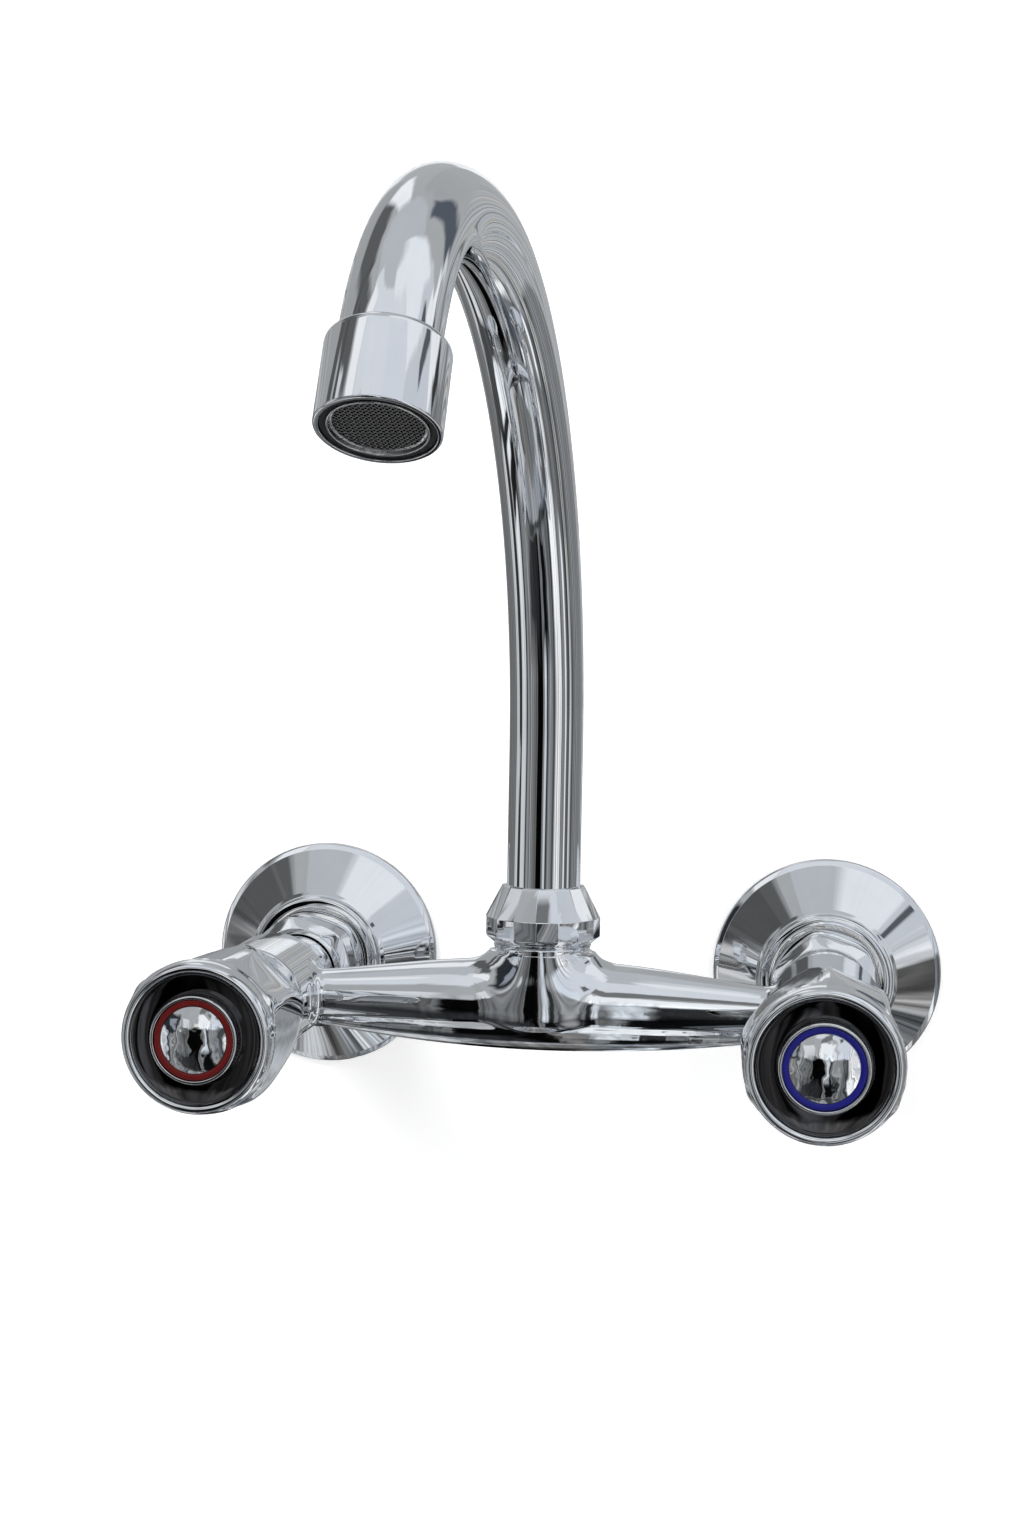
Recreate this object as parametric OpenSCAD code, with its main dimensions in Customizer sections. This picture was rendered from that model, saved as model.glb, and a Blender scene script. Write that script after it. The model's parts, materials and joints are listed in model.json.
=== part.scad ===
// Wall-mounted two-handle sink mixer with a swivelling gooseneck spout.
// Origin: midway between the two wall inlets, on the face of the wall.
// +X to the right, +Y into the wall, +Z up. Hot side at -X, cold side at +X.

/* [Layout] */
// Distance between the two wall inlets
inlet_spacing = 150; // [140:0.5:170]
// How far the offset unions lift the mixer above the wall inlets
union_offset = 6; // [3:0.5:8]
// Distance from the wall to the middle of the bar and the swivel axis
bar_depth = 76.5; // [75:0.1:79]
// Turn of the spout away from straight ahead, at rest
spout_rest_turn = -2.4; // [-10:0.1:10]
// Turn of the hot handle on its spline, at rest
hot_handle_turn = 107; // [-180:1:180]
// Turn of the cold handle on its spline, at rest
cold_handle_turn = 8; // [-180:1:180]

/* [Wall union] */
// Radius of the thread that screws into the wall
stud_r = 10.48; // [10.4:0.01:10.5]
// Length of that thread behind the wall face
stud_length = 20; // [14:0.5:26]
// Where the round web of the union starts, from the wall
web_rear = 2; // [1:0.1:4]
// Thickness of the web
web_thickness = 8; // [5:0.1:9]
// Radius of the thread that takes the union nut
union_thread_r = 13.22; // [13.1:0.01:13.3]
// Distance of the front end of the union from the wall
union_front = 31; // [30:0.1:32]
// Radius of the waterway through the union
union_bore_r = 7; // [6:0.1:8]
// Thickness of the flat washer in the union
washer_thickness = 2; // [1.5:0.1:2.5]
// Radius of the washer hole
washer_bore_r = 8; // [7:0.1:9]

/* [Union nut] */
// Radius of the round bar that the nut is turned from
nut_r = 15.8; // [15.5:0.05:16]
// Distance from the axis to its six spanner flats
nut_flat = 15; // [14.8:0.05:15.4]
// Where the nut starts, from the wall
nut_rear = 16; // [14:0.5:18]
// Where the nut ends, from the wall
nut_front = 42; // [40.5:0.1:43]
// Length of the sloped front shoulder
nut_shoulder = 2.6; // [1:0.1:3]
// Radius at the front of the shoulder
nut_front_r = 12.6; // [12:0.1:14]

/* [Tailpiece] */
// Radius of the collar that the nut pulls on
tail_collar_r = 12.8; // [12.4:0.05:13]
// Thickness of the collar
tail_collar_h = 3; // [2:0.1:3.5]
// Radius of the thread that screws into the neck of the body
tail_thread_r = 8.55; // [8:0.05:9]
// Length of that thread
tail_thread_h = 12; // [8:0.5:13]
// Radius of the waterway
tail_bore_r = 6.2; // [5.5:0.1:6.5]
// Corner radius of the hexagonal key socket
tail_key_r = 7.4; // [7:0.1:7.8]
// Depth of the key socket
tail_key_h = 6; // [4:0.5:8]

/* [Wall flange] */
// Radius of the flange at the wall
flange_r = 33.2; // [30:0.1:36]
// Width of the straight rim at the wall
flange_rim_h = 1.8; // [1:0.1:3]
// Sheet thickness
flange_wall = 1; // [0.7:0.05:1.3]
// Distance of the front lip from the wall
flange_depth = 20; // [18.5:0.1:21]
// Height of the rolled lip
flange_lip_h = 2.8; // [2:0.1:3.5]
// Outer radius of the rolled lip
flange_lip_r = 18.9; // [18.2:0.1:20]
// Gap between the lip and the union nut
flange_slip = 0.5; // [0.3:0.05:0.8]

/* [Body] */
// Radius of the two valve housings
housing_r = 15; // [14.6:0.1:15.6]
// Where a housing starts, from the wall
housing_rear = 65; // [63:0.1:66]
// Where a housing ends, from the wall
housing_front = 98; // [97:0.1:99]
// Radius of the rounded rear shoulder of a housing
housing_round = 2.2; // [1:0.1:3]
// Radius of the necks that carry the union nuts
neck_r = 10.8; // [10.2:0.05:11]
// Radius of the bar near the centre boss
bar_root_r = 11.3; // [10.5:0.1:12]
// Radius of the bar where it meets a housing
bar_tip_r = 6.3; // [6:0.1:7.5]
// Half length of the thick middle of the bar
bar_root_x = 20; // [16:0.5:24]
// Height of the bar's own axis above the valve axes
bar_lift = 0.5; // [0:0.1:1]
// Radius of the waterways in the bar
bar_bore_r = 3.6; // [3:0.1:4]
// Radius of the keel along the lower front, in the middle
keel_mid_r = 4.9; // [4:0.1:5.5]
// Radius of the keel at its ends
keel_end_r = 1.7; // [1.2:0.1:2.2]
// Distance of the keel's middle in front of the bar axis
keel_mid_out = 6.7; // [6:0.1:7.5]
// Distance of the keel's ends in front of the bar axis
keel_end_out = 2.8; // [2:0.1:3.5]
// Depth of the keel's middle below the valve axes
keel_mid_drop = 6.2; // [5.5:0.1:7]
// Depth of the keel's ends below the valve axes
keel_end_drop = 5.8; // [5:0.1:6]
// Radius of the centre boss at its top
boss_top_r = 12.6; // [12.3:0.1:13]
// Radius of the centre boss where it runs into the keel
boss_foot_r = 11.3; // [10.8:0.1:12]
// Height of the boss above the valve axes
boss_top = 16.3; // [15.5:0.1:16.5]
// Radius of the flare between boss and bar
flare_r = 5.5; // [4:0.1:7]

/* [Valve] */
// Distance of the valve seat from the wall
seat_depth = 68; // [67:0.1:69]
// Radius of the waterway under the seat
seat_bore_r = 5.6; // [4.5:0.1:6]
// Radius of the chamber round the headwork
chamber_r = 10; // [9.8:0.05:10.2]
// Radius of the headwork thread
headwork_thread_r = 10.48; // [10.4:0.01:10.5]
// Length of the headwork thread
headwork_thread_h = 12; // [10:0.5:12]
// Radius of the cage that holds the discs
cage_r = 9.3; // [9:0.05:9.5]
// Corner radius of the hexagonal collar
collar_r = 11.6; // [11.3:0.05:11.8]
// Thickness of the collar
collar_h = 3.2; // [2.5:0.1:3.4]
// Thickness of the flat gasket under the collar
gasket_h = 0.8; // [0.5:0.1:1]
// Radius of the front tube of the headwork
stem_tube_r = 7.5; // [7:0.1:7.8]
// Length of the front tube of the headwork
stem_tube_h = 8; // [6:0.5:8]
// Radius of the ceramic discs
disc_r = 8.1; // [7.8:0.05:8.2]
// Thickness of each ceramic disc
disc_h = 2.9; // [2.5:0.1:3.1]
// Height of the rubber seat
seal_h = 3.2; // [3:0.1:3.5]
// Wall of the rubber seat
seal_wall = 3; // [2:0.1:3.2]
// Thickness of the spindle's driving flange
driver_h = 2.7; // [2:0.1:3]
// Radius of the spindle where it is sealed
spindle_r = 5; // [4.8:0.05:5.1]
// Thickness of the spindle O-rings
spindle_ring_d = 1.5; // [1.2:0.1:1.6]
// Outer radius of the spline
spline_r = 4; // [3.9:0.05:4.1]
// Number of spline teeth
spline_teeth = 20; // [16:2:24]
// Depth of the spline teeth
spline_depth = 0.3; // [0.2:0.05:0.4]
// Where the spindle ends, from the wall
spindle_end = 123.5; // [122:0.1:124]
// Radius of the snap ring
clip_r = 6; // [5.6:0.1:6.4]
// Thickness of the snap ring
clip_h = 0.8; // [0.6:0.1:1]

/* [Handle] */
// Distance of the handle's rear edge from the wall
handle_rear = 98.6; // [98.4:0.1:99]
// Radius at the rear edge
handle_rear_r = 15.6; // [15.4:0.1:16]
// Largest radius of the barrel
handle_max_r = 21.5; // [20.8:0.1:21.8]
// Distance from the rear edge to that largest radius
handle_belly = 26; // [22:0.5:30]
// Distance of the rim's front from the wall
handle_front = 147; // [146:0.1:148]
// Radius of the rim at its front
rim_crown_r = 17.2; // [16.8:0.1:17.6]
// Inner radius of the rim
rim_inner_r = 15.4; // [15:0.1:15.8]
// Radius of the rim where it meets the barrel
rim_r = 18.7; // [18.3:0.1:19.2]
// Distance from the axis to the middle of a finger flat, at the rear
flat_rear = 16.4; // [16:0.1:17]
// The same distance, where the flat ends behind the rim
flat_front = 16.5; // [16.2:0.1:17.2]
// Distance from the axis to the middle of a lobe's face, at the rear
lobe_rear = 13; // [12.9:0.1:13.8]
// Slope of that face against the axis
lobe_slope = 14.5; // [13:0.5:18]
// Distance of the front part of each lobe from the axis
lobe_front = 19.4; // [19:0.1:20.4]
// Number of lobes, and of finger flats between them
lobe_count = 3; // [3:1:4]
// Depth of the dish below the rim's crown
dish_depth = 3.4; // [2.5:0.1:4]
// Radius of the hollow at the rear, round the headwork collar
hollow_rear_r = 12; // [11.9:0.05:12.1]
// Radius of the hollow further in
hollow_mid_r = 14.2; // [13:0.1:14.5]
// Radius of the boss that holds the spline
handle_boss_r = 7.5; // [6.5:0.1:8]
// Radius of the handle screw's shank
screw_r = 2; // [1.8:0.05:2.2]
// Radius of the handle screw's head
screw_head_r = 4; // [3.6:0.1:4.2]
// Thickness of the handle screw's head
screw_head_h = 2.6; // [2:0.1:3]

/* [Index button] */
// Outer radius of the silver bezel
bezel_r = 10.8; // [10.4:0.1:11]
// Distance of the bezel's front from the wall
bezel_front = 148; // [147.5:0.1:148.5]
// Outer radius of the colour ring
ring_r = 9.9; // [9.6:0.05:10]
// Radius of the polished dome
dome_r = 8.1; // [7.8:0.05:8.3]
// Height of the dome above the colour ring
dome_h = 2; // [1.5:0.1:2.6]
// Thickness of the colour ring
ring_h = 1; // [0.6:0.1:1.4]

/* [Spout] */
// Outer radius of the spout tube
tube_r = 9.72; // [9.6:0.01:9.8]
// Wall of the spout tube
tube_wall = 1; // [0.8:0.05:1.2]
// Height above the valve axes at which the tube starts to bend
riser_top = 68.3; // [60:0.1:80]
// Radius of the wide bend, on the tube's centreline
bend_r = 117.1; // [105:0.1:125]
// Turn of the wide bend
bend_angle = 99.2; // [90:0.1:105]
// Radius of the tight bend at the outlet
hook_r = 62.6; // [50:0.1:70]
// Turn of the tight bend
hook_angle = 55.2; // [45:0.1:60]
// How much thinner the tube is drawn in the tight bend
hook_draw = 0.02; // [0.01:0.01:0.1]
// Radius of the stem that turns in the body
stem_r = 8.1; // [7.8:0.05:8.3]
// Length of that stem
stem_length = 18; // [16:0.5:20]
// Radius of the waterway in the stem
stem_bore_r = 5.2; // [4.5:0.1:5.5]
// Radius of the collar that carries the spout
spout_collar_r = 11.2; // [10.8:0.1:11.4]
// Thickness of that collar
spout_collar_h = 2.2; // [1.8:0.1:2.5]
// Thickness of the spout O-rings
spout_ring_d = 1.5; // [1.2:0.1:1.6]
// Length of the spigot inside the tube
spigot_length = 12; // [8:0.5:16]

/* [Spout nut] */
// Height of the threaded neck above the boss
spout_neck_h = 6.7; // [6:0.1:7]
// Radius of the threaded neck
spout_neck_r = 11.9; // [11.8:0.05:12]
// Distance from the axis to the nut's small facets
spout_nut_flat = 15; // [14.7:0.05:15.2]
// Number of facets round the nut
spout_nut_facets = 16; // [12:1:20]
// Gap between the boss and the nut
spout_nut_gap = 0.7; // [0.4:0.1:0.9]
// Height of the straight band, with its chamfer below
spout_nut_band = 6.6; // [6:0.1:7]
// Height of the sloped part
spout_nut_slope = 8.2; // [7.5:0.1:8.5]
// Distance from the axis to the top of a sloped facet
spout_nut_top = 10.8; // [10.6:0.05:11.2]
// Height of the chamfer under the band
spout_nut_chamfer = 1.8; // [1:0.1:2]
// Thickness of the split slip ring
slip_ring_h = 1.4; // [1:0.1:1.6]

/* [Outlet] */
// Outer radius of the aerator housing
cap_r = 11.9; // [11.7:0.05:12.2]
// Length of the aerator housing
cap_length = 18.5; // [17.5:0.1:20]
// How far the housing laps over the tube
cap_lap = 3; // [2:0.1:3.2]
// Wall of the housing
cap_wall = 1.2; // [1:0.05:1.3]
// Radius of the rounded edges of the housing
cap_round = 0.8; // [0.5:0.1:1]
// Length of the threaded sleeve on the end of the tube
sleeve_length = 7; // [5:0.1:7.5]
// Thickness of the flat washer behind the insert
insert_washer_h = 1.6; // [1.2:0.1:2]
// Radius of the opening in the bottom of the housing
mouth_r = 10.4; // [10.3:0.05:10.5]
// Height of the inner lip at the mouth
mouth_lip_h = 2; // [1.5:0.1:2.5]
// Outer radius of the insert's metal ring
insert_r = 9.3; // [9.1:0.05:9.5]
// Wall of the insert's metal ring
insert_wall = 0.9; // [0.7:0.05:1.1]
// Distance between neighbouring wires of the screen
wire_pitch = 1.1; // [1:0.1:1.6]
// Width of a wire of the screen
wire_width = 0.4; // [0.3:0.05:0.5]
// Depth of the screen above the mouth
screen_depth = 2.2; // [1.8:0.1:2.6]

/* [Fits] */
// Radial clearance of threads and fixed fits
fit_clear = 0.05; // [0.02:0.01:0.08]
// Radial clearance of parts that turn in each other
run_clear = 0.08; // [0.05:0.01:0.1]
// Gap between flat faces that are clamped or slide on each other
face_clear = 0.05; // [0.02:0.01:0.1]
// Gap round parts that only have to miss each other
loose_clear = 0.3; // [0.2:0.05:0.35]

/* [Hidden] */
$fn = 96;
tiny = 0.02;
HOT = -1;
COLD = 1;
hull_sides = 32;
chrome = "gainsboro";
brass = "goldenrod";
rubber = "dimgray";
ceramic = "whitesmoke";
acetal = "ivory";

// Layout: valve axes run along Y, at this height above the wall inlets.
valve_x = inlet_spacing / 2;
valve_z = union_offset;

// Union stack, as distances from the wall along a valve axis.
web_front = web_rear + web_thickness;
web_r = union_thread_r + union_offset / 2 + loose_clear;
washer_rear = union_front + face_clear;
washer_front = washer_rear + washer_thickness;
tail_rear = washer_front + face_clear;
neck_rear = tail_rear + tail_collar_h + face_clear;
nut_bore_r = union_thread_r + fit_clear;
nut_hole_r = neck_r + loose_clear;
nut_seat = neck_rear;
neck_thread_end = neck_rear + tail_thread_h + 1.5;

// Flange: a slip-over cover round the union nut.
flange_hole_r = nut_r + flange_slip;
flange_lip_base = flange_depth - flange_lip_h;

// Valve stack, as distances from the wall along a valve axis.
thread_rear = housing_front - headwork_thread_h;
cage_rear = seat_depth + 1;
seal_front = seat_depth + face_clear + seal_h;
fixed_disc_rear = seal_front + face_clear;
fixed_disc_front = fixed_disc_rear + disc_h;
moving_disc_rear = fixed_disc_front + face_clear;
moving_disc_front = moving_disc_rear + disc_h;
driver_rear = moving_disc_front + face_clear;
driver_front = driver_rear + driver_h;
pocket_r = disc_r + run_clear;
pocket_front = driver_front + loose_clear;
collar_rear = housing_front + gasket_h + face_clear;
collar_front = collar_rear + collar_h;
stem_tube_front = collar_front + stem_tube_h;
clip_rear = stem_tube_front + face_clear;
clip_front = clip_rear + clip_h;
spline_root_r = spline_r - spline_depth / 2;
clip_groove_r = spline_root_r - 0.6;
spline_rear = clip_front + 1;
spindle_ring_r = spindle_ring_d / 2;
spindle_ring_places = [pocket_front + 4, pocket_front + 9];
port_inner_r = 2;
port_outer_r = disc_r - 2.2;
port_angle = 80;
window_w = 7;
spindle_bore_end = spindle_end - 10;

// Handle, as distances from the wall along a valve axis.
boss_rear = clip_front + loose_clear;
spline_end = spindle_end + loose_clear;
screw_seat = spline_end + 4;
screw_tip = spindle_bore_end + 1;
button_floor = bezel_front - 7;
hollow_front = button_floor - 5;
belly_d = handle_rear + handle_belly;
rim_base_d = handle_front - 4.5;
barrel_front_d = rim_base_d - 2;
dish_inner_d = handle_front - dish_depth;
rim_inner_d = handle_front - 1.4;
flat_run = rim_base_d - 0.3 - handle_rear;
flat_slope = atan((flat_front - flat_rear) / flat_run);
hollow_cone_d = handle_rear + 5;
hollow_mid_d = handle_rear + 20;
ring_front = bezel_front - 0.6;
ring_floor = ring_front - ring_h;
pocket_floor = bezel_front - 4;
plug_r = screw_head_r + 0.2;
plug_length = hollow_front - 1 - screw_seat;

// Spout stack, as heights above the valve axes.
spout_neck_top = boss_top + spout_neck_h;
collar_bottom = spout_neck_top + face_clear;
collar_top = collar_bottom + spout_collar_h;
slip_bottom = collar_top + face_clear;
slip_top = slip_bottom + slip_ring_h;
nut_roof = slip_top + face_clear;
spout_nut_bottom = boss_top + spout_nut_gap;
spout_nut_edge = spout_nut_bottom + spout_nut_band;
spout_nut_height = spout_nut_band + spout_nut_slope;
spout_nut_blank_r = spout_nut_flat / cos(180 / spout_nut_facets);
spout_nut_tilt = atan((spout_nut_flat - spout_nut_top) / spout_nut_slope);
spout_nut_bore_r = spout_neck_r + fit_clear;
tube_hole_r = tube_r + run_clear + 0.1;
socket_r = stem_r + run_clear;
stem_bottom = collar_bottom - stem_length;
socket_bottom = stem_bottom - 3;
tube_bore_r = tube_r - tube_wall;
spout_ring_r = spout_ring_d / 2;
spout_ring_heights = [stem_bottom + 5, stem_bottom + 12];

// Outlet, as distances along the outlet axis from the top of the housing.
cap_bore_r = cap_r - cap_wall;
sleeve_top = cap_wall + face_clear;
sleeve_bottom = sleeve_top + sleeve_length;
insert_washer_bottom = sleeve_bottom + face_clear + insert_washer_h;
insert_top = insert_washer_bottom + face_clear;
lip_top = cap_length - mouth_lip_h;
gasket_wall_r = insert_r + fit_clear;
gasket_bottom = cap_length - 0.6;
insert_bottom = cap_length - 0.8;
insert_bore_r = insert_r - insert_wall;
screen_bottom = cap_length - screen_depth;
screen_h = 0.4;

// Points of a curve from a to c that is drawn towards b, without its first point.
function curve(a, b, c, steps = 8) = [
    for (i = [1:steps])
        let (t = i / steps)
        (1 - t) * (1 - t) * a + 2 * t * (1 - t) * b + t * t * c
];

// Places a shape on a valve axis: its Z is the distance from the wall.
module on_valve(side) {
    translate([side * valve_x, 0, valve_z])
        rotate([90, 0, 0])
            children();
}

// Places a shape on the swivel axis: its Z is the height above the valve axes.
module on_swivel() {
    translate([0, -bar_depth, valve_z])
        children();
}

// Places a shape that turns with the spout.
module on_spout() {
    on_swivel()
        rotate([0, 0, spout_rest_turn])
            children();
}

// Lays the spout's bends in their upright plane: -X is outwards, Y is up.
module in_arch() {
    on_spout()
        rotate([90, 0, 90])
            children();
}

// Places a shape on the outlet axis: its Z runs down towards the mouth.
module on_outlet() {
    in_arch()
        translate([-bend_r, riser_top, 0])
            rotate([0, 0, bend_angle])
                translate([bend_r - hook_r, 0, 0])
                    rotate([0, 0, hook_angle])
                        translate([hook_r, -cap_lap, 0])
                            rotate([-90, 0, 0])
                                children();
}

// A round bar between two heights.
module bar(r, from, to) {
    translate([0, 0, from])
        cylinder(r = r, h = to - from);
}

// A ring between two heights.
module ring(outer, inner, from, to) {
    difference() {
        bar(outer, from, to);
        bar(inner, from - 1, to + 1);
    }
}

// A hexagonal bar between two heights.
module hex_bar(corner_r, from, to) {
    translate([0, 0, from])
        cylinder(r = corner_r, h = to - from, $fn = 6);
}

// An O-ring lying at a height.
module o_ring(centre_r, section_r, height) {
    translate([0, 0, height])
        rotate_extrude()
            translate([centre_r, 0])
                circle(r = section_r);
}

// Outline of the toothed spline, grown by a clearance.
module spline_outline(grow) {
    half_step = 180 / spline_teeth;
    polygon([
        for (i = [0:2 * spline_teeth - 1])
            let (r = spline_r + grow - (i % 2) * spline_depth)
            [r * cos(i * half_step), r * sin(i * half_step)]
    ]);
}

// A sector-shaped waterway, from the inner to the outer port radius.
module port_outline() {
    steps = 8;
    edge = [for (i = [0:steps]) -port_angle / 2 + i * port_angle / steps];
    polygon(concat(
        [for (a = edge) port_outer_r * [cos(a), sin(a)]],
        [for (i = [steps:-1:0]) port_inner_r * [cos(edge[i]), sin(edge[i])]]
    ));
}

// Offset union: wall thread, round web and the thread for the union nut.
module eccentric_union(side) {
    color(brass)
    on_valve(side)
    difference() {
        union() {
            translate([0, -union_offset, 0])
                bar(stud_r, -stud_length, web_front);
            translate([0, -union_offset / 2, 0])
                bar(web_r, web_rear, web_front);
            bar(union_thread_r, web_rear + 1, union_front);
        }
        translate([0, -union_offset, 0])
            bar(union_bore_r, -stud_length - 1, web_front - 2);
        bar(union_bore_r, web_rear + 3, union_front + 1);
    }
}

// Thin cover that stands on the wall and slips over the union nut.
module wall_flange(side) {
    foot = [flange_r - 1.2, flange_rim_h + 0.4];
    throat = [flange_lip_r + 0.4, flange_lip_base - 1.2];
    waist = [(foot[0] + throat[0]) / 2 - 1.2, (foot[1] + throat[1]) / 2 - 1];
    inner_foot = foot - [flange_wall, flange_wall];
    inner_throat = [flange_hole_r, throat[1] - flange_wall];
    inner_waist = waist - [flange_wall, flange_wall];
    color(chrome)
    on_valve(side)
    rotate_extrude()
    polygon(concat(
        [[flange_r - flange_wall, 0], [flange_r, 0], [flange_r, flange_rim_h - 0.4]],
        [[flange_r - 0.4, flange_rim_h], foot],
        curve(foot, waist, throat),
        [[flange_lip_r, flange_lip_base], [flange_lip_r, flange_depth - 1]],
        curve([flange_lip_r, flange_depth - 1], [flange_lip_r, flange_depth],
            [flange_lip_r - 1, flange_depth], 4),
        [[flange_hole_r + 0.4, flange_depth], [flange_hole_r, flange_depth - 0.4]],
        [inner_throat],
        curve(inner_throat, inner_waist, inner_foot),
        [[flange_r - flange_wall, inner_foot[1] - 0.4]]
    ));
}

// Captive nut that pulls the mixer onto its union.
module union_nut(side) {
    flats = 6;
    first_flat = 13;
    shoulder_rear = nut_front - nut_shoulder;
    color(chrome)
    on_valve(side)
    difference() {
        rotate_extrude()
            polygon([
                [nut_bore_r, nut_rear], [nut_r - 0.8, nut_rear], [nut_r, nut_rear + 0.8],
                [nut_r, shoulder_rear], [nut_front_r, nut_front], [nut_hole_r, nut_front],
                [nut_hole_r, nut_seat], [nut_bore_r, nut_seat]
            ]);
        for (i = [0:flats - 1])
            rotate([0, 0, first_flat + i * 360 / flats])
                translate([nut_flat, -nut_r, nut_rear + 3])
                    cube([nut_r, 2 * nut_r, nut_front]);
    }
}

// Flat washer between the union and the tailpiece.
module union_washer(side) {
    color(rubber)
    on_valve(side)
    ring(tail_collar_r, washer_bore_r, washer_rear, washer_front);
}

// Short collar that screws into the body's neck and holds the union nut.
module tailpiece(side) {
    color(brass)
    on_valve(side)
    difference() {
        union() {
            bar(tail_collar_r, tail_rear, tail_rear + tail_collar_h);
            bar(tail_thread_r, tail_rear, neck_rear + tail_thread_h);
        }
        bar(tail_bore_r, tail_rear - 1, neck_rear + tail_thread_h + 1);
        hex_bar(tail_key_r, tail_rear - 1, tail_rear + tail_key_h);
    }
}

// Outside of a valve housing with its neck, as a turned profile.
module housing_solid() {
    rotate_extrude()
    polygon(concat(
        [[0, neck_rear], [neck_r - 0.5, neck_rear], [neck_r, neck_rear + 0.5]],
        [[neck_r, housing_rear], [housing_r - housing_round, housing_rear]],
        curve([housing_r - housing_round, housing_rear], [housing_r, housing_rear],
            [housing_r, housing_rear + housing_round], 6),
        [[housing_r, housing_front - 0.4], [housing_r - 0.4, housing_front]],
        [[0, housing_front]]
    ));
}

// Waterway, chamber and threads inside a valve housing.
module housing_cut() {
    bar(tail_thread_r + fit_clear, neck_rear - 1, neck_thread_end);
    bar(seat_bore_r, neck_rear, seat_depth + 1);
    bar(chamber_r, seat_depth, housing_front - 2);
    bar(headwork_thread_r + fit_clear, thread_rear - 1, housing_front + 1);
}

// The bar between the housings, turned about its own long axis.
module bar_solid() {
    translate([0, 0, bar_lift])
    rotate([0, 90, 0])
    rotate_extrude()
    polygon([
        [0, -valve_x], [bar_tip_r, -valve_x], [bar_tip_r, housing_r - valve_x],
        [bar_root_r, -bar_root_x], [bar_root_r, bar_root_x],
        [bar_tip_r, valve_x - housing_r], [bar_tip_r, valve_x], [0, valve_x]
    ]);
}

// Rounded keel along the lower front: thick in the middle, thin at its ends.
module keel_solid() {
    steps = 5;
    reach = valve_x - housing_r - 2;
    hull()
    for (i = [-steps:steps]) {
        u = i / steps;
        r = keel_mid_r + (keel_end_r - keel_mid_r) * u * u;
        out = keel_mid_out + (keel_end_out - keel_mid_out) * u * u;
        drop = keel_mid_drop + (keel_end_drop - keel_mid_drop) * u * u;
        translate([u * reach, -out, -drop])
            sphere(r = r, $fn = hull_sides);
    }
}

// Centre boss, flared into the bar on both sides, and the neck on top of it.
module boss_solid() {
    flare_foot = [boss_top_r + flare_r, boss_top - flare_r];
    boss_foot = -keel_mid_drop + 3;
    translate([0, 0, boss_foot])
        cylinder(r1 = boss_foot_r, r2 = boss_top_r, h = boss_top - boss_foot);
    intersection() {
        rotate_extrude()
            polygon(concat(
                [[0, 0], [0, boss_top], [boss_top_r, boss_top]],
                curve([boss_top_r, boss_top], [boss_top_r, boss_top - flare_r], flare_foot),
                [[bar_root_x + 4, flare_foot[1] - 1], [bar_root_x + 4, 0]]
            ));
        translate([0, 0, bar_lift + 3.5])
            rotate([0, 90, 0])
                cylinder(r = bar_root_r, h = 4 * bar_root_x, center = true);
    }
    bar(spout_neck_r, boss_top - 1, spout_neck_top);
}

// Cast body: two valve housings with necks, the bar, the keel and the boss.
module mixer_body() {
    color(chrome)
    difference() {
        union() {
            for (side = [HOT, COLD])
                on_valve(side)
                    housing_solid();
            on_swivel() {
                bar_solid();
                keel_solid();
                boss_solid();
            }
        }
        for (side = [HOT, COLD])
            on_valve(side)
                housing_cut();
        on_swivel() {
            bar(socket_r, socket_bottom, spout_neck_top + 1);
            rotate([0, 90, 0])
                cylinder(r = bar_bore_r, h = 2 * valve_x, center = true);
        }
    }
}

// Screw-in valve body: cage with windows, thread, collar and front tube.
module headwork(side) {
    color(brass)
    on_valve(side)
    difference() {
        union() {
            bar(cage_r, cage_rear, thread_rear + 1);
            bar(headwork_thread_r, thread_rear, collar_rear + 1);
            hex_bar(collar_r, collar_rear, collar_front);
            bar(stem_tube_r, collar_rear, stem_tube_front);
        }
        bar(pocket_r, cage_rear - 1, pocket_front);
        bar(spindle_r + run_clear, pocket_front - 1, stem_tube_front + 1);
        translate([-cage_r - 1, -window_w / 2, moving_disc_rear])
            cube([2 * cage_r + 2, window_w, driver_front - moving_disc_rear]);
    }
}

// Flat gasket between the collar and the housing.
module headwork_gasket(side) {
    color(rubber)
    on_valve(side)
    ring(collar_r, headwork_thread_r + fit_clear, housing_front, housing_front + gasket_h);
}

// Rubber seat between the housing and the fixed disc.
module seat_seal(side) {
    color(rubber)
    on_valve(side)
    ring(disc_r, disc_r - seal_wall, seat_depth + face_clear, seal_front);
}

// A ceramic disc with two sector ports.
module ceramic_disc(from, to) {
    difference() {
        bar(disc_r, from, to);
        for (half = [0, 180])
            translate([0, 0, from - 1])
                rotate([0, 0, half])
                    linear_extrude(height = disc_h + 2)
                        port_outline();
    }
}

// Disc that stands still in the cage.
module fixed_disc(side) {
    color(ceramic)
    on_valve(side)
    ceramic_disc(fixed_disc_rear, fixed_disc_front);
}

// Disc that turns with the spindle; closed at rest, a quarter turn off the fixed one.
module moving_disc(side) {
    color(ceramic)
    on_valve(side)
    rotate([0, 0, 90])
        ceramic_disc(moving_disc_rear, moving_disc_front);
}

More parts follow.
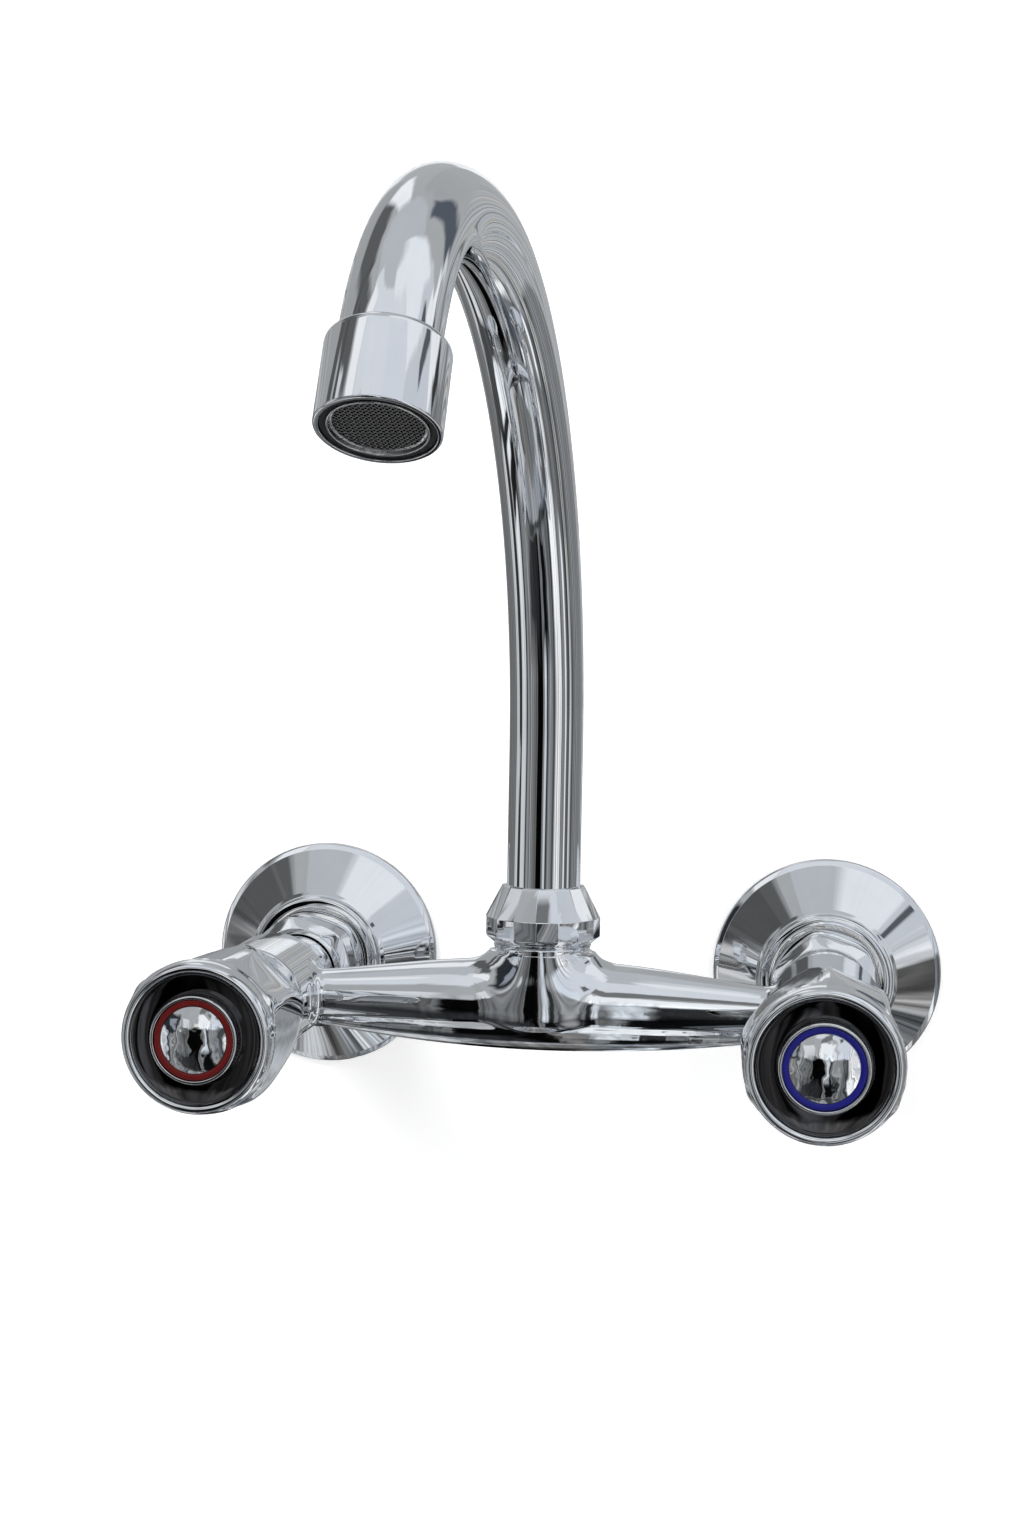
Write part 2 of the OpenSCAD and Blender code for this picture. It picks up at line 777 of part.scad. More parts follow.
// Spindle with driving flange, seal grooves, snap ring groove and spline.
module spindle(side) {
    color(brass)
    on_valve(side)
    difference() {
        union() {
            bar(disc_r - loose_clear, driver_rear, driver_front);
            bar(spindle_r, driver_rear, collar_front);
            bar(spline_root_r, collar_front - 1, spline_rear);
            translate([0, 0, spline_rear - tiny])
                linear_extrude(height = spindle_end - spline_rear + tiny)
                    spline_outline(0);
        }
        for (place = spindle_ring_places)
            ring(spindle_r + 1, spindle_r - spindle_ring_d,
                place - spindle_ring_r - face_clear, place + spindle_ring_r + face_clear);
        ring(spline_r + 1, clip_groove_r, clip_rear - face_clear, clip_front + face_clear);
        bar(screw_r + fit_clear, spindle_bore_end, spindle_end + 1);
    }
}

// The two O-rings that seal the spindle.
module spindle_orings(side) {
    color(rubber)
    on_valve(side)
    for (place = spindle_ring_places)
        o_ring(spindle_r - spindle_ring_r + fit_clear / 2, spindle_ring_r, place);
}

// Open snap ring that keeps the spindle in the headwork.
module spindle_clip(side) {
    color("silver")
    on_valve(side)
    difference() {
        ring(clip_r, clip_groove_r + fit_clear, clip_rear, clip_front);
        translate([0, -1.2, clip_rear - 1])
            cube([clip_r + 1, 2.4, clip_h + 2]);
    }
}

// Outside of the handle: barrel, rim and dish, as a turned profile.
module handle_profile() {
    rear_edge = [handle_rear_r, handle_rear + 0.5];
    belly = [handle_max_r, belly_d];
    barrel_front = [handle_max_r - 1.8, barrel_front_d];
    rim_base = [rim_r, rim_base_d];
    crown = [rim_crown_r, handle_front];
    inner = [rim_inner_r, rim_inner_d];
    rotate_extrude()
    polygon(concat(
        [[0, handle_rear], [handle_rear_r - 0.5, handle_rear], rear_edge],
        curve(rear_edge, [handle_max_r, handle_rear + 16], belly, 10),
        curve(belly, [handle_max_r, barrel_front_d - 4], barrel_front, 5),
        curve(barrel_front, [rim_r + 0.4, rim_base_d - 0.4], rim_base, 3),
        curve(rim_base, [rim_r, handle_front - 0.6], crown, 8),
        curve(crown, [rim_inner_r + 0.3, handle_front], inner, 5),
        [[bezel_r + 0.4, dish_inner_d], [0, dish_inner_d]]
    ));
}

// Cuts one plane face along the barrel, from its rear end to the rim.
module face_cut(rear, slope) {
    reach = 2 * handle_max_r;
    translate([rear, 0, handle_rear])
        rotate([0, slope, 0])
            translate([0, -reach / 2, -5])
                cube([reach, reach, flat_run + 5]);
}

// Hollow, spline, screw hole and button seat inside the handle.
module handle_cut() {
    button_r = bezel_r + fit_clear;
    difference() {
        rotate_extrude()
            polygon([
                [0, handle_rear - 1], [hollow_rear_r, handle_rear - 1],
                [hollow_rear_r, hollow_cone_d], [hollow_mid_r, hollow_mid_d],
                [hollow_mid_r, hollow_front - 1], [hollow_mid_r - 1, hollow_front],
                [0, hollow_front]
            ]);
        bar(handle_boss_r, boss_rear, hollow_front + 1);
    }
    translate([0, 0, boss_rear - 1])
        linear_extrude(height = spline_end - boss_rear + 1)
            spline_outline(fit_clear);
    bar(screw_r + 0.2, spline_end - 1, screw_seat + 1);
    bar(screw_head_r + 0.3, screw_seat, button_floor + 1);
    bar(button_r, button_floor, handle_front);
}

// Handle: three-lobed barrel with finger flats between the lobes.
module handle_shell(side, turn) {
    step = 360 / lobe_count;
    color(chrome)
    on_valve(side)
    difference() {
        rotate([0, 0, turn])
        difference() {
            handle_profile();
            for (i = [0:lobe_count - 1]) {
                rotate([0, 0, i * step])
                    face_cut(flat_rear, flat_slope);
                rotate([0, 0, (i + 0.5) * step]) {
                    face_cut(lobe_rear, lobe_slope);
                    face_cut(lobe_front, 0);
                }
            }
        }
        handle_cut();
    }
}

// Screw that holds the handle on the spindle.
module handle_screw(side) {
    head_front = screw_seat + face_clear + screw_head_h;
    color("silver")
    on_valve(side)
    difference() {
        union() {
            bar(screw_r, screw_tip, screw_seat + 1);
            bar(screw_head_r, screw_seat + face_clear, head_front);
        }
        hex_bar(screw_r, head_front - 1.8, head_front + 1);
    }
}

// Silver bezel of the index button, with its plug.
module index_bezel(side) {
    color("silver")
    on_valve(side)
    rotate_extrude()
    polygon([
        [0, button_floor - plug_length + 2], [plug_r, button_floor - plug_length + 2],
        [plug_r, button_floor + face_clear], [bezel_r, button_floor + face_clear],
        [bezel_r, bezel_front - 0.5], [bezel_r - 0.5, bezel_front], [ring_r, bezel_front],
        [ring_r, ring_floor], [dome_r + fit_clear, ring_floor],
        [dome_r + fit_clear, pocket_floor], [0, pocket_floor]
    ]);
}

// Coloured ring of the index button.
module index_ring(side, paint) {
    color(paint)
    on_valve(side)
    ring(ring_r - fit_clear, dome_r + 2 * fit_clear, ring_floor + tiny, ring_front);
}

// Polished dome in the middle of the index button.
module index_dome(side) {
    sphere_r = (dome_r * dome_r + dome_h * dome_h) / (2 * dome_h);
    color("gainsboro")
    on_valve(side)
    intersection() {
        bar(dome_r, pocket_floor + tiny, ring_front + dome_h + 1);
        translate([0, 0, ring_front + dome_h - sphere_r])
            sphere(r = sphere_r);
    }
}

// Faceted nut that clamps the spout's slip ring on the body.
module spout_nut() {
    top = spout_nut_bottom + spout_nut_height;
    reach = 2 * spout_nut_blank_r;
    color(chrome)
    on_swivel()
    difference() {
        rotate_extrude()
            polygon([
                [0, spout_nut_bottom],
                [spout_nut_flat - spout_nut_chamfer, spout_nut_bottom],
                [spout_nut_blank_r, spout_nut_bottom + spout_nut_chamfer],
                [spout_nut_blank_r, top], [0, top]
            ]);
        for (i = [0:spout_nut_facets - 1])
            rotate([0, 0, (i + 0.5) * 360 / spout_nut_facets]) {
                translate([spout_nut_flat, -reach / 2, spout_nut_bottom - 1])
                    cube([reach, reach, spout_nut_height + 2]);
                translate([spout_nut_flat, 0, spout_nut_edge])
                    rotate([0, -spout_nut_tilt, 0])
                        translate([0, -reach / 2, -tiny])
                            cube([reach, reach, reach]);
            }
        bar(spout_nut_bore_r, spout_nut_bottom - 1, nut_roof);
        bar(tube_hole_r, nut_roof - 1, top + 1);
    }
}

// Split ring between the nut's roof and the spout's collar.
module spout_slip_ring() {
    color(acetal)
    on_swivel()
    difference() {
        ring(spout_nut_bore_r - fit_clear, tube_hole_r, slip_bottom, slip_top);
        translate([0, -0.6, slip_bottom - 1])
            cube([spout_nut_bore_r + 1, 1.2, slip_ring_h + 2]);
    }
}

// Turned end of the spout: stem in the body, collar and spigot in the tube.
module spout_tail() {
    color(brass)
    on_spout()
    difference() {
        union() {
            bar(stem_r, stem_bottom, collar_top);
            bar(spout_collar_r, collar_bottom, collar_top);
            bar(tube_bore_r - fit_clear, collar_bottom, collar_top + spigot_length);
        }
        bar(stem_bore_r, stem_bottom - 1, collar_top + spigot_length + 1);
        for (height = spout_ring_heights)
            ring(stem_r + 1, stem_r - spout_ring_d,
                height - spout_ring_r - face_clear, height + spout_ring_r + face_clear);
    }
}

// The two O-rings that seal the spout in the body.
module spout_orings() {
    color(rubber)
    on_spout()
    for (height = spout_ring_heights)
        o_ring(stem_r - spout_ring_r + fit_clear / 2, spout_ring_r, height);
}

// One run of the spout's path, as a solid of the given radius.
module spout_run(r, overrun) {
    lower_end = collar_top + face_clear - overrun;
    translate([0, lower_end, 0])
        rotate([-90, 0, 0])
            cylinder(r = r, h = riser_top - lower_end);
    translate([-bend_r, riser_top, 0]) {
        rotate_extrude(angle = bend_angle)
            translate([bend_r, 0])
                circle(r = r);
        rotate([0, 0, bend_angle])
            translate([bend_r - hook_r, 0, 0]) {
                rotate_extrude(angle = hook_angle + overrun / hook_r * 180 / PI)
                    translate([hook_r, 0])
                        circle(r = r - hook_draw);
            }
    }
}

// Gooseneck tube: riser, wide bend and tighter hook.
module spout_tube() {
    color(chrome)
    in_arch()
    difference() {
        spout_run(tube_r, 0);
        spout_run(tube_bore_r, 1);
    }
}

// Threaded sleeve brazed on the end of the tube.
module outlet_sleeve() {
    color(brass)
    on_outlet()
    difference() {
        bar(cap_bore_r - fit_clear, sleeve_top, sleeve_bottom);
        bar(tube_r + fit_clear, sleeve_top - 1, cap_lap + face_clear + 0.1);
        bar(tube_bore_r, sleeve_top, sleeve_bottom + 1);
    }
}

// Aerator housing: a turned cup with a round hole for the tube and a mouth.
module aerator_cap() {
    hole_r = tube_r + run_clear;
    color(chrome)
    on_outlet()
    rotate_extrude()
    polygon(concat(
        [[hole_r, 0], [cap_r - 1.4, 0]],
        curve([cap_r - 1.4, 0], [cap_r, 0.2], [cap_r, 1.6], 5),
        [[cap_r, cap_length - cap_round]],
        curve([cap_r, cap_length - cap_round], [cap_r, cap_length],
            [cap_r - cap_round, cap_length], 5),
        [[mouth_r, cap_length], [mouth_r, lip_top], [cap_bore_r, lip_top]],
        [[cap_bore_r, cap_wall], [hole_r, cap_wall]]
    ));
}

// Flat washer between the sleeve and the insert.
module aerator_washer() {
    color(rubber)
    on_outlet()
    ring(cap_bore_r - fit_clear, insert_bore_r, sleeve_bottom + face_clear, insert_washer_bottom);
}

// Black ring round the insert, seen at the mouth.
module aerator_gasket() {
    color("black")
    on_outlet()
    rotate_extrude()
    polygon([
        [gasket_wall_r, lip_top - 2], [cap_bore_r - fit_clear, lip_top - 2],
        [cap_bore_r - fit_clear, lip_top - face_clear], [mouth_r - fit_clear, lip_top - face_clear],
        [mouth_r - fit_clear, gasket_bottom], [gasket_wall_r, gasket_bottom]
    ]);
}

// Insert of the aerator: metal ring with a drilled plate inside.
module aerator_core() {
    plate_h = 1.2;
    holes = 12;
    color("silver")
    on_outlet()
    difference() {
        bar(insert_r, insert_top, insert_bottom);
        bar(insert_bore_r, insert_top - 1, insert_top + 1);
        bar(insert_bore_r, insert_top + 1 + plate_h, insert_bottom + 1);
        for (i = [0:holes - 1])
            rotate([0, 0, i * 360 / holes])
                translate([insert_bore_r * 0.62, 0, 0])
                    bar(0.8, insert_top, insert_top + plate_h + 2);
    }
}

// Woven screen across the mouth, as crossed wires in a thin rim.
module aerator_mesh() {
    screen_r = insert_bore_r - fit_clear;
    count = floor(screen_r / wire_pitch);
    color("gray")
    on_outlet()
    translate([0, 0, screen_bottom - screen_h])
    linear_extrude(height = screen_h) {
        difference() {
            circle(r = screen_r);
            circle(r = screen_r - wire_width);
        }
        intersection() {
            circle(r = screen_r - wire_width / 2);
            for (turn = [45, 135])
                rotate(turn)
                    for (i = [-count:count])
                        translate([i * wire_pitch, 0])
                            square([wire_width, 2 * screen_r], center = true);
        }
    }
}

mixer_body();
eccentric_union(HOT);  // eccentric_union_hot
eccentric_union(COLD);  // eccentric_union_cold
wall_flange(HOT);  // wall_flange_hot
wall_flange(COLD);  // wall_flange_cold
union_nut(HOT);  // union_nut_hot
union_nut(COLD);  // union_nut_cold
union_washer(HOT);  // union_washer_hot
union_washer(COLD);  // union_washer_cold
tailpiece(HOT);  // tailpiece_hot
tailpiece(COLD);  // tailpiece_cold
headwork(HOT);  // headwork_hot
headwork(COLD);  // headwork_cold
headwork_gasket(HOT);  // headwork_gasket_hot
headwork_gasket(COLD);  // headwork_gasket_cold
seat_seal(HOT);  // seat_seal_hot
seat_seal(COLD);  // seat_seal_cold
fixed_disc(HOT);  // fixed_disc_hot
fixed_disc(COLD);  // fixed_disc_cold
moving_disc(HOT);  // moving_disc_hot
moving_disc(COLD);  // moving_disc_cold
spindle(HOT);  // spindle_hot
spindle(COLD);  // spindle_cold
spindle_orings(HOT);  // spindle_orings_hot
spindle_orings(COLD);  // spindle_orings_cold
spindle_clip(HOT);  // spindle_clip_hot
spindle_clip(COLD);  // spindle_clip_cold
handle_shell(HOT, hot_handle_turn);  // handle_shell_hot
handle_shell(COLD, cold_handle_turn);  // handle_shell_cold
handle_screw(HOT);  // handle_screw_hot
handle_screw(COLD);  // handle_screw_cold
index_bezel(HOT);  // index_bezel_hot
index_bezel(COLD);  // index_bezel_cold
index_ring(HOT, "darkred");  // index_ring_hot
index_ring(COLD, "mediumblue");  // index_ring_cold
index_dome(HOT);  // index_dome_hot
index_dome(COLD);  // index_dome_cold
spout_nut();
spout_slip_ring();
spout_tail();
spout_orings();
spout_tube();
outlet_sleeve();
aerator_cap();
aerator_washer();
aerator_gasket();
aerator_core();
aerator_mesh();
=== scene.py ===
"""Wall-mounted sink mixer: its visible pieces and finishes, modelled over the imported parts."""
import json
import math

import bpy
import numpy as np
from bpy.props import FloatProperty, FloatVectorProperty, IntProperty, PointerProperty
from mathutils import Matrix, Vector


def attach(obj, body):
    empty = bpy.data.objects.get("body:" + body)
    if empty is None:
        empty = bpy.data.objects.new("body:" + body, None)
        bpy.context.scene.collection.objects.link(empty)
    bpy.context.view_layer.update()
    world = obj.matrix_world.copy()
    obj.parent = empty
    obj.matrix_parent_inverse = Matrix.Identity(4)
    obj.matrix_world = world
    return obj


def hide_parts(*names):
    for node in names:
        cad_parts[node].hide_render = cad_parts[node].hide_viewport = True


bl_info = {
    "name": "Wall Mixer",
    "version": (1, 0, 0),
    "blender": (4, 5, 0),
    "location": "View3D > Sidebar > Mixer",
    "description": "Models a wall-mounted sink mixer with a swivelling gooseneck spout",
    "category": "Add Mesh",
}

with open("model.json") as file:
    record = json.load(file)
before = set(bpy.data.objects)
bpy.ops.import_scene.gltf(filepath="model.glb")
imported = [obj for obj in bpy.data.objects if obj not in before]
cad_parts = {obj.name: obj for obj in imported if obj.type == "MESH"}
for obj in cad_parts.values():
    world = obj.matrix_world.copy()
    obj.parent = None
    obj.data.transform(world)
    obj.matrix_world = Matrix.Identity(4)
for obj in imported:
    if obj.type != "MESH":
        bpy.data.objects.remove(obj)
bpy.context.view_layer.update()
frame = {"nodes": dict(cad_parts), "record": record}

MM = 0.001
SIDES = {"hot": -1, "cold": 1}

# The lengths named here and in the profiles are in millimetres. The valve axes run along Y, beside
# and above the wall inlets. The bar crosses them at BAR_Y, and the swivel axis stands on its middle.
VALVE_X = 75.0
VALVE_Z = 6.0
BAR_Y = -76.5

# The casting: radii, and middles and half lengths as depths from the wall on the valve axes, or
# as heights over them on the swivel axis.
HOUSING_R, HOUSING_MIDDLE, HOUSING_HALF = 15.0, 81.5, 16.5
HOUSING_BACK_EDGE, HOUSING_FRONT_EDGE = 2.4, 1.5
NECK_R, NECK_MIDDLE, NECK_HALF, NECK_EDGE, NECK_FILLET = 10.8, 55.0, 18.85, 0.4, 1.3
BAR_R, BAR_END_R, BAR_RISE, BAR_REACH = 11.3, 6.3, 0.5, 80.0
BAR_FILLET, BAR_END_FILLET = 1.6, 0.8
TAPER_START, TAPER_SLOPE, TAPER_COSINE = 13.8, 0.125, 0.992
KEEL_R, KEEL_END_R, KEEL_SPAN, KEEL_REACH = 4.9, 1.5, 58.0, 64.0
KEEL_MOST = 1.08
KEEL_AHEAD, KEEL_DROP = 6.7, 6.2
KEEL_THINNING, KEEL_DRAW_BACK, KEEL_LIFT = 3.2, 3.9, 0.4
BOSS_FOOT, BOSS_TOP, BOSS_MIDDLE, BOSS_HALF = -3.2, 16.3, 6.55, 9.75
BOSS_FOOT_R, BOSS_TOP_R, BOSS_EDGE = 11.3, 12.6, 0.5
GROOVE_R, GROOVE_HEIGHT, GROOVE_DEPTH = 12.75, 14.9, 0.42
COLLAR_R, COLLAR_MIDDLE, COLLAR_HALF, COLLAR_EDGE = 11.9, 19.0, 4.0, 0.3

# The knob's skin: distances of its flats and lobes from the valve axis, and depths from the wall.
FLAT_REACH = 16.45
LOBE_FOOT_REACH, LOBE_REACH = 13.0, 19.45
LOBE_LEAN = math.radians(14.5)
LOBE_FILLET = 2.2
SKIN_LEAST_R, SKIN_LEAST_FILLET = 15.05, 1.4
KNOB_BORE, KNOB_MOUTH, KNOB_LIP, KNOB_RIM = 12.2, 98.6, 98.9, 142.7
CUTS_END, CUTS_RUN_OUT, CUTS_LIFT = 140.2, 2.2, 5.0

# The spout's path: a riser, a wide bend and a tighter hook in one upright plane.
SPOUT_TURN = math.radians(-2.4)
RISER_FOOT = 25.4
RISER_TOP = 68.3
BEND_R = 117.1
BEND_TURN = math.radians(99.2)
HOOK_R = 62.6
HOOK_TURN = math.radians(55.2)
CAP_LAP = 3.0
OUTWARD = Vector((math.sin(SPOUT_TURN), -math.cos(SPOUT_TURN), 0.0))
ARCH_AXIS = Vector((math.cos(SPOUT_TURN), math.sin(SPOUT_TURN), 0.0))


class MixerSizes(bpy.types.PropertyGroup):
    """Sizes that can change without moving a piece off its neighbour."""

    turning_steps: IntProperty(
        name="Turning Steps", description="Faces round a turned piece", default=144, min=32, max=256
    )
    casting_grain: FloatProperty(
        name="Casting Grain", description="Edge length of the casting's faces",
        default=0.00053, min=0.0003, max=0.002, unit="LENGTH",
    )
    boss_fillet: FloatProperty(
        name="Boss Fillet", description="Width of the blend between boss and bar",
        default=0.0085, min=0.002, max=0.012, unit="LENGTH",
    )
    joint_fillet: FloatProperty(
        name="Joint Fillet", description="Width of the blend between bar and valve housing",
        default=0.0026, min=0.0005, max=0.006, unit="LENGTH",
    )
    keel_fillet: FloatProperty(
        name="Keel Fillet", description="Width of the blend between keel and bar",
        default=0.0006, min=0.0003, max=0.004, unit="LENGTH",
    )
    ridge_round: FloatProperty(
        name="Ridge Rounding", description="Width of the rounding between the knob's faces",
        default=0.0022, min=0.0003, max=0.004, unit="LENGTH",
    )
    tube_radius: FloatProperty(
        name="Tube Radius", description="Outer radius of the gooseneck",
        default=0.00972, min=0.009, max=0.01, unit="LENGTH",
    )
    wire_pitch: FloatProperty(
        name="Screen Pitch", description="Distance between neighbouring wires of the outlet screen",
        default=0.00078, min=0.0006, max=0.002, unit="LENGTH",
    )


class MixerColours(bpy.types.PropertyGroup):
    """Colours of the finishes, of the painted dark reflection in the knob's dish and of the wall behind the
    mixer.
    """

    chrome: FloatVectorProperty(
        name="Chrome", description="Tint of the polished plating",
        subtype="COLOR", size=3, default=(0.80, 0.815, 0.835), min=0, max=1,
    )
    satin: FloatVectorProperty(
        name="Satin Chrome", description="Tint of the satin bezels",
        subtype="COLOR", size=3, default=(0.72, 0.73, 0.74), min=0, max=1,
    )
    # Painted dark reflection for the knob's dish: the chrome there is darkened to stand in for the dark
    # surroundings it mirrors.
    dish: FloatVectorProperty(
        name="Dish", description="Tint of the dark plating in the knob's dish",
        subtype="COLOR", size=3, default=(0.07, 0.068, 0.07), min=0, max=1,
    )
    hot: FloatVectorProperty(
        name="Hot Enamel", description="Colour of the hot ring",
        subtype="COLOR", size=3, default=(0.125, 0.004, 0.0035), min=0, max=1,
    )
    cold: FloatVectorProperty(
        name="Cold Enamel", description="Colour of the cold ring",
        subtype="COLOR", size=3, default=(0.005, 0.0055, 0.2), min=0, max=1,
    )
    wall: FloatVectorProperty(
        name="Wall", description="Colour of the wall behind the mixer",
        subtype="COLOR", size=3, default=(0.86, 0.86, 0.865), min=0, max=1,
    )


# Starting and finishing a mesh


def clear_selection():
    if bpy.context.mode != "OBJECT":
        bpy.ops.object.mode_set(mode="OBJECT")
    bpy.ops.object.select_all(action="DESELECT")


def pick(piece):
    clear_selection()
    piece.select_set(True)
    bpy.context.view_layer.objects.active = piece


def start_point(name):
    """A new mesh of one vertex at the origin, open in edit mode and selected."""
    clear_selection()
    bpy.ops.mesh.primitive_plane_add(size=0.002)
    piece = bpy.context.object
    piece.name = piece.data.name = name
    bpy.ops.object.mode_set(mode="EDIT")
    bpy.ops.mesh.select_all(action="SELECT")
    bpy.ops.mesh.merge(type="CENTER")
    return piece


def draw_profile(name, points, closed=False):
    """Draws a turning profile in the XZ plane, from (radius, height) points in millimetres."""
    piece = start_point(name)
    bpy.ops.transform.translate(value=(points[0][0] * MM, 0, points[0][1] * MM))
    for a, b in zip(points, points[1:]):
        step = ((b[0] - a[0]) * MM, 0, (b[1] - a[1]) * MM)
        bpy.ops.mesh.extrude_vertices_move(TRANSFORM_OT_translate={"value": step})
    if closed:
        bpy.ops.object.mode_set(mode="OBJECT")
        last = len(piece.data.vertices) - 1
        piece.data.vertices[0].select = True
        piece.data.vertices[last].select = True
        bpy.ops.object.mode_set(mode="EDIT")
        bpy.ops.mesh.edge_face_add()
    return piece


def turn(name, points, steps, closed=False):
    """Turns a profile about the Z axis into a closed, outward-facing mesh."""
    piece = draw_profile(name, points, closed)
    bpy.ops.mesh.select_all(action="SELECT")
    bpy.ops.mesh.spin(steps=steps, angle=2 * math.pi, center=(0, 0, 0), axis=(0, 0, 1))
    close_mesh()
    return piece


def close_mesh():
    """Merges doubles and turns every face outwards. Leaves edit mode."""
    bpy.ops.mesh.select_all(action="SELECT")
    bpy.ops.mesh.remove_doubles(threshold=2e-6)
    bpy.ops.mesh.normals_make_consistent(inside=False)
    bpy.ops.object.mode_set(mode="OBJECT")


def smooth(piece, degrees=32.0):
    pick(piece)
    bpy.ops.object.shade_smooth_by_angle(angle=math.radians(degrees))


def apply_modifiers(piece):
    pick(piece)
    for modifier in list(piece.modifiers):
        bpy.ops.object.modifier_apply(modifier=modifier.name)


def place(piece, matrix):
    """Moves the mesh, so that the object stays at the origin, unturned and unscaled."""
    pick(piece)
    piece.matrix_world = matrix
    bpy.ops.object.transform_apply(location=True, rotation=True, scale=True)


def on_valve(side):
    """From a turning axis to a valve axis: Z becomes the distance from the wall."""
    stand = Matrix.Translation((side * VALVE_X * MM, 0, VALVE_Z * MM))
    return stand @ Matrix.Rotation(math.pi / 2, 4, "X")


def on_swivel():
    return Matrix.Translation((0, BAR_Y * MM, VALVE_Z * MM))


def on_outlet():
    """From a turning axis to the outlet axis: Z runs down towards the mouth."""
    return (
        on_swivel()
        @ Matrix.Rotation(SPOUT_TURN, 4, "Z")
        @ Matrix.Rotation(math.pi / 2, 4, "Z")
        @ Matrix.Rotation(math.pi / 2, 4, "X")
        @ Matrix.Translation((-BEND_R * MM, RISER_TOP * MM, 0))
        @ Matrix.Rotation(BEND_TURN, 4, "Z")
        @ Matrix.Translation(((BEND_R - HOOK_R) * MM, 0, 0))
        @ Matrix.Rotation(HOOK_TURN, 4, "Z")
        @ Matrix.Translation((HOOK_R * MM, -CAP_LAP * MM, 0))
        @ Matrix.Rotation(-math.pi / 2, 4, "X")
    )


def rounded(corners, steps=6):
    """A profile whose corners (radius, height, rounding) are replaced by arcs."""
    points = []
    for i, (x, y, r) in enumerate(corners):
        if r <= 0 or i in (0, len(corners) - 1):
            points.append((x, y))
            continue
        here = Vector((x, y))
        back = (Vector(corners[i - 1][:2]) - here).normalized()
        ahead = (Vector(corners[i + 1][:2]) - here).normalized()
        half = back.angle(ahead) / 2
        reach = r / math.tan(half)
        centre = here + (back + ahead).normalized() * (r / math.sin(half))
        a, b = here + back * reach - centre, here + ahead * reach - centre
        sweep = a.angle_signed(b)
        for k in range(steps + 1):
            p = centre + Matrix.Rotation(-sweep * k / steps, 2) @ a
            points.append((p.x, p.y))
    return points


def curve_points(a, b, c, steps=10):
    """Points from a to c along a curve drawn towards b, without a itself."""
    made = []
    for k in range(1, steps + 1):
        t = k / steps
        weights = (1 - t) ** 2, 2 * t * (1 - t), t * t
        made.append(tuple(weights[0] * p + weights[1] * q + weights[2] * r for p, q, r in zip(a, b, c)))
    return made


def read_points(piece):
    flat = np.empty(len(piece.data.vertices) * 3)
    piece.data.vertices.foreach_get("co", flat)
    return flat.reshape(-1, 3)


def write_points(piece, points):
    piece.data.vertices.foreach_set("co", np.ascontiguousarray(points, dtype=np.float32).ravel())
    piece.data.update()


def finish_piece(piece, material, slot, body, *nodes):
    piece.data.materials.clear()
    piece.data.materials.append(material)
    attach(piece, body)
    if nodes:
        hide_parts(*nodes)
    return piece


# Finishes

# Scales of the noise in a finish, in features per metre: clouds in the tint, polish marks and skin.
CLOUDS, POLISH, SKIN = 90.0, 900.0, 700.0
SLOW_SWELL = 75.0

# Where the painted dark reflection in the knob's dish lies: its edge and its depth, each from full to none,
# in metres.
PAINTED_DISH_EDGE = (0.0158, 0.0163)
PAINTED_DISH_DEPTH = (-0.1446, -0.1440)


class Wiring:
    """Adds and joins the nodes of one node tree."""

    def __init__(self, tree):
        self.nodes = tree.nodes
        self.links = tree.links

    def fill(self, node, inputs):
        """Gives each named input its value, or links it where that is another node's output."""
        for key, value in inputs.items():
            if isinstance(value, bpy.types.NodeSocket):
                self.links.new(value, node.inputs[key])
            else:
                node.inputs[key].default_value = value
        return node

    def add(self, kind, inputs=None, **settings):
        node = self.nodes.new(kind)
        for key, value in settings.items():
            setattr(node, key, value)
        return self.fill(node, inputs or {})

    def maths(self, operation, a, b=None, clamp=False):
        inputs = {0: a} if b is None else {0: a, 1: b}
        return self.add("ShaderNodeMath", inputs, operation=operation, use_clamp=clamp).outputs[0]

    def spread(self, factor, low, high, start=0.35, end=0.65):
        """Carries the range from start to end over to the range from low to high."""
        return self.add("ShaderNodeMapRange", {
            "Value": factor, "From Min": start, "From Max": end, "To Min": low, "To Max": high,
        }).outputs["Result"]

    def tone(self, factor, low, high, start=0.3, end=0.7):
        """A colour between low and high."""
        ramp = self.add("ShaderNodeValToRGB", {"Fac": factor})
        for stop, position, colour in zip(ramp.color_ramp.elements, (start, end), (low, high)):
            stop.position = position
            stop.color = (*colour, 1)
        return ramp.outputs["Color"]

    def mirrored_rays(self, ray):
        """One where a ray has been mirrored by metal or bent by glass, else zero."""
        return self.maths("MAXIMUM", ray.outputs["Is Glossy Ray"], ray.outputs["Is Transmission Ray"])


class Finish(Wiring):
    """A node-built surface on Object coordinates."""

    def __init__(self, name):
        self.material = bpy.data.materials.get(name)
        self.fresh = self.material is None
        if self.fresh:
            self.material = bpy.data.materials.new(name)
            self.material.use_nodes = True
        super().__init__(self.material.node_tree)
        self.shader = self.nodes.get("Principled BSDF")

    def noise(self, scale, detail=3.0, roughness=0.5):
        """Noise over the piece; scale is in features per metre."""
        return self.add("ShaderNodeTexNoise", {
            "Vector": self.add("ShaderNodeTexCoord").outputs["Object"],
            "Scale": scale, "Detail": detail, "Roughness": roughness,
        }).outputs["Fac"]

    def bump(self, height, distance, strength=1.0, under=None):
        inputs = {"Height": height, "Distance": distance, "Strength": strength}
        if under is not None:
            inputs["Normal"] = under
        return self.add("ShaderNodeBump", inputs).outputs["Normal"]


def shades(tint, least):
    """The dark and the full shade of a tint."""
    return tuple(c * least for c in tint), tuple(tint)


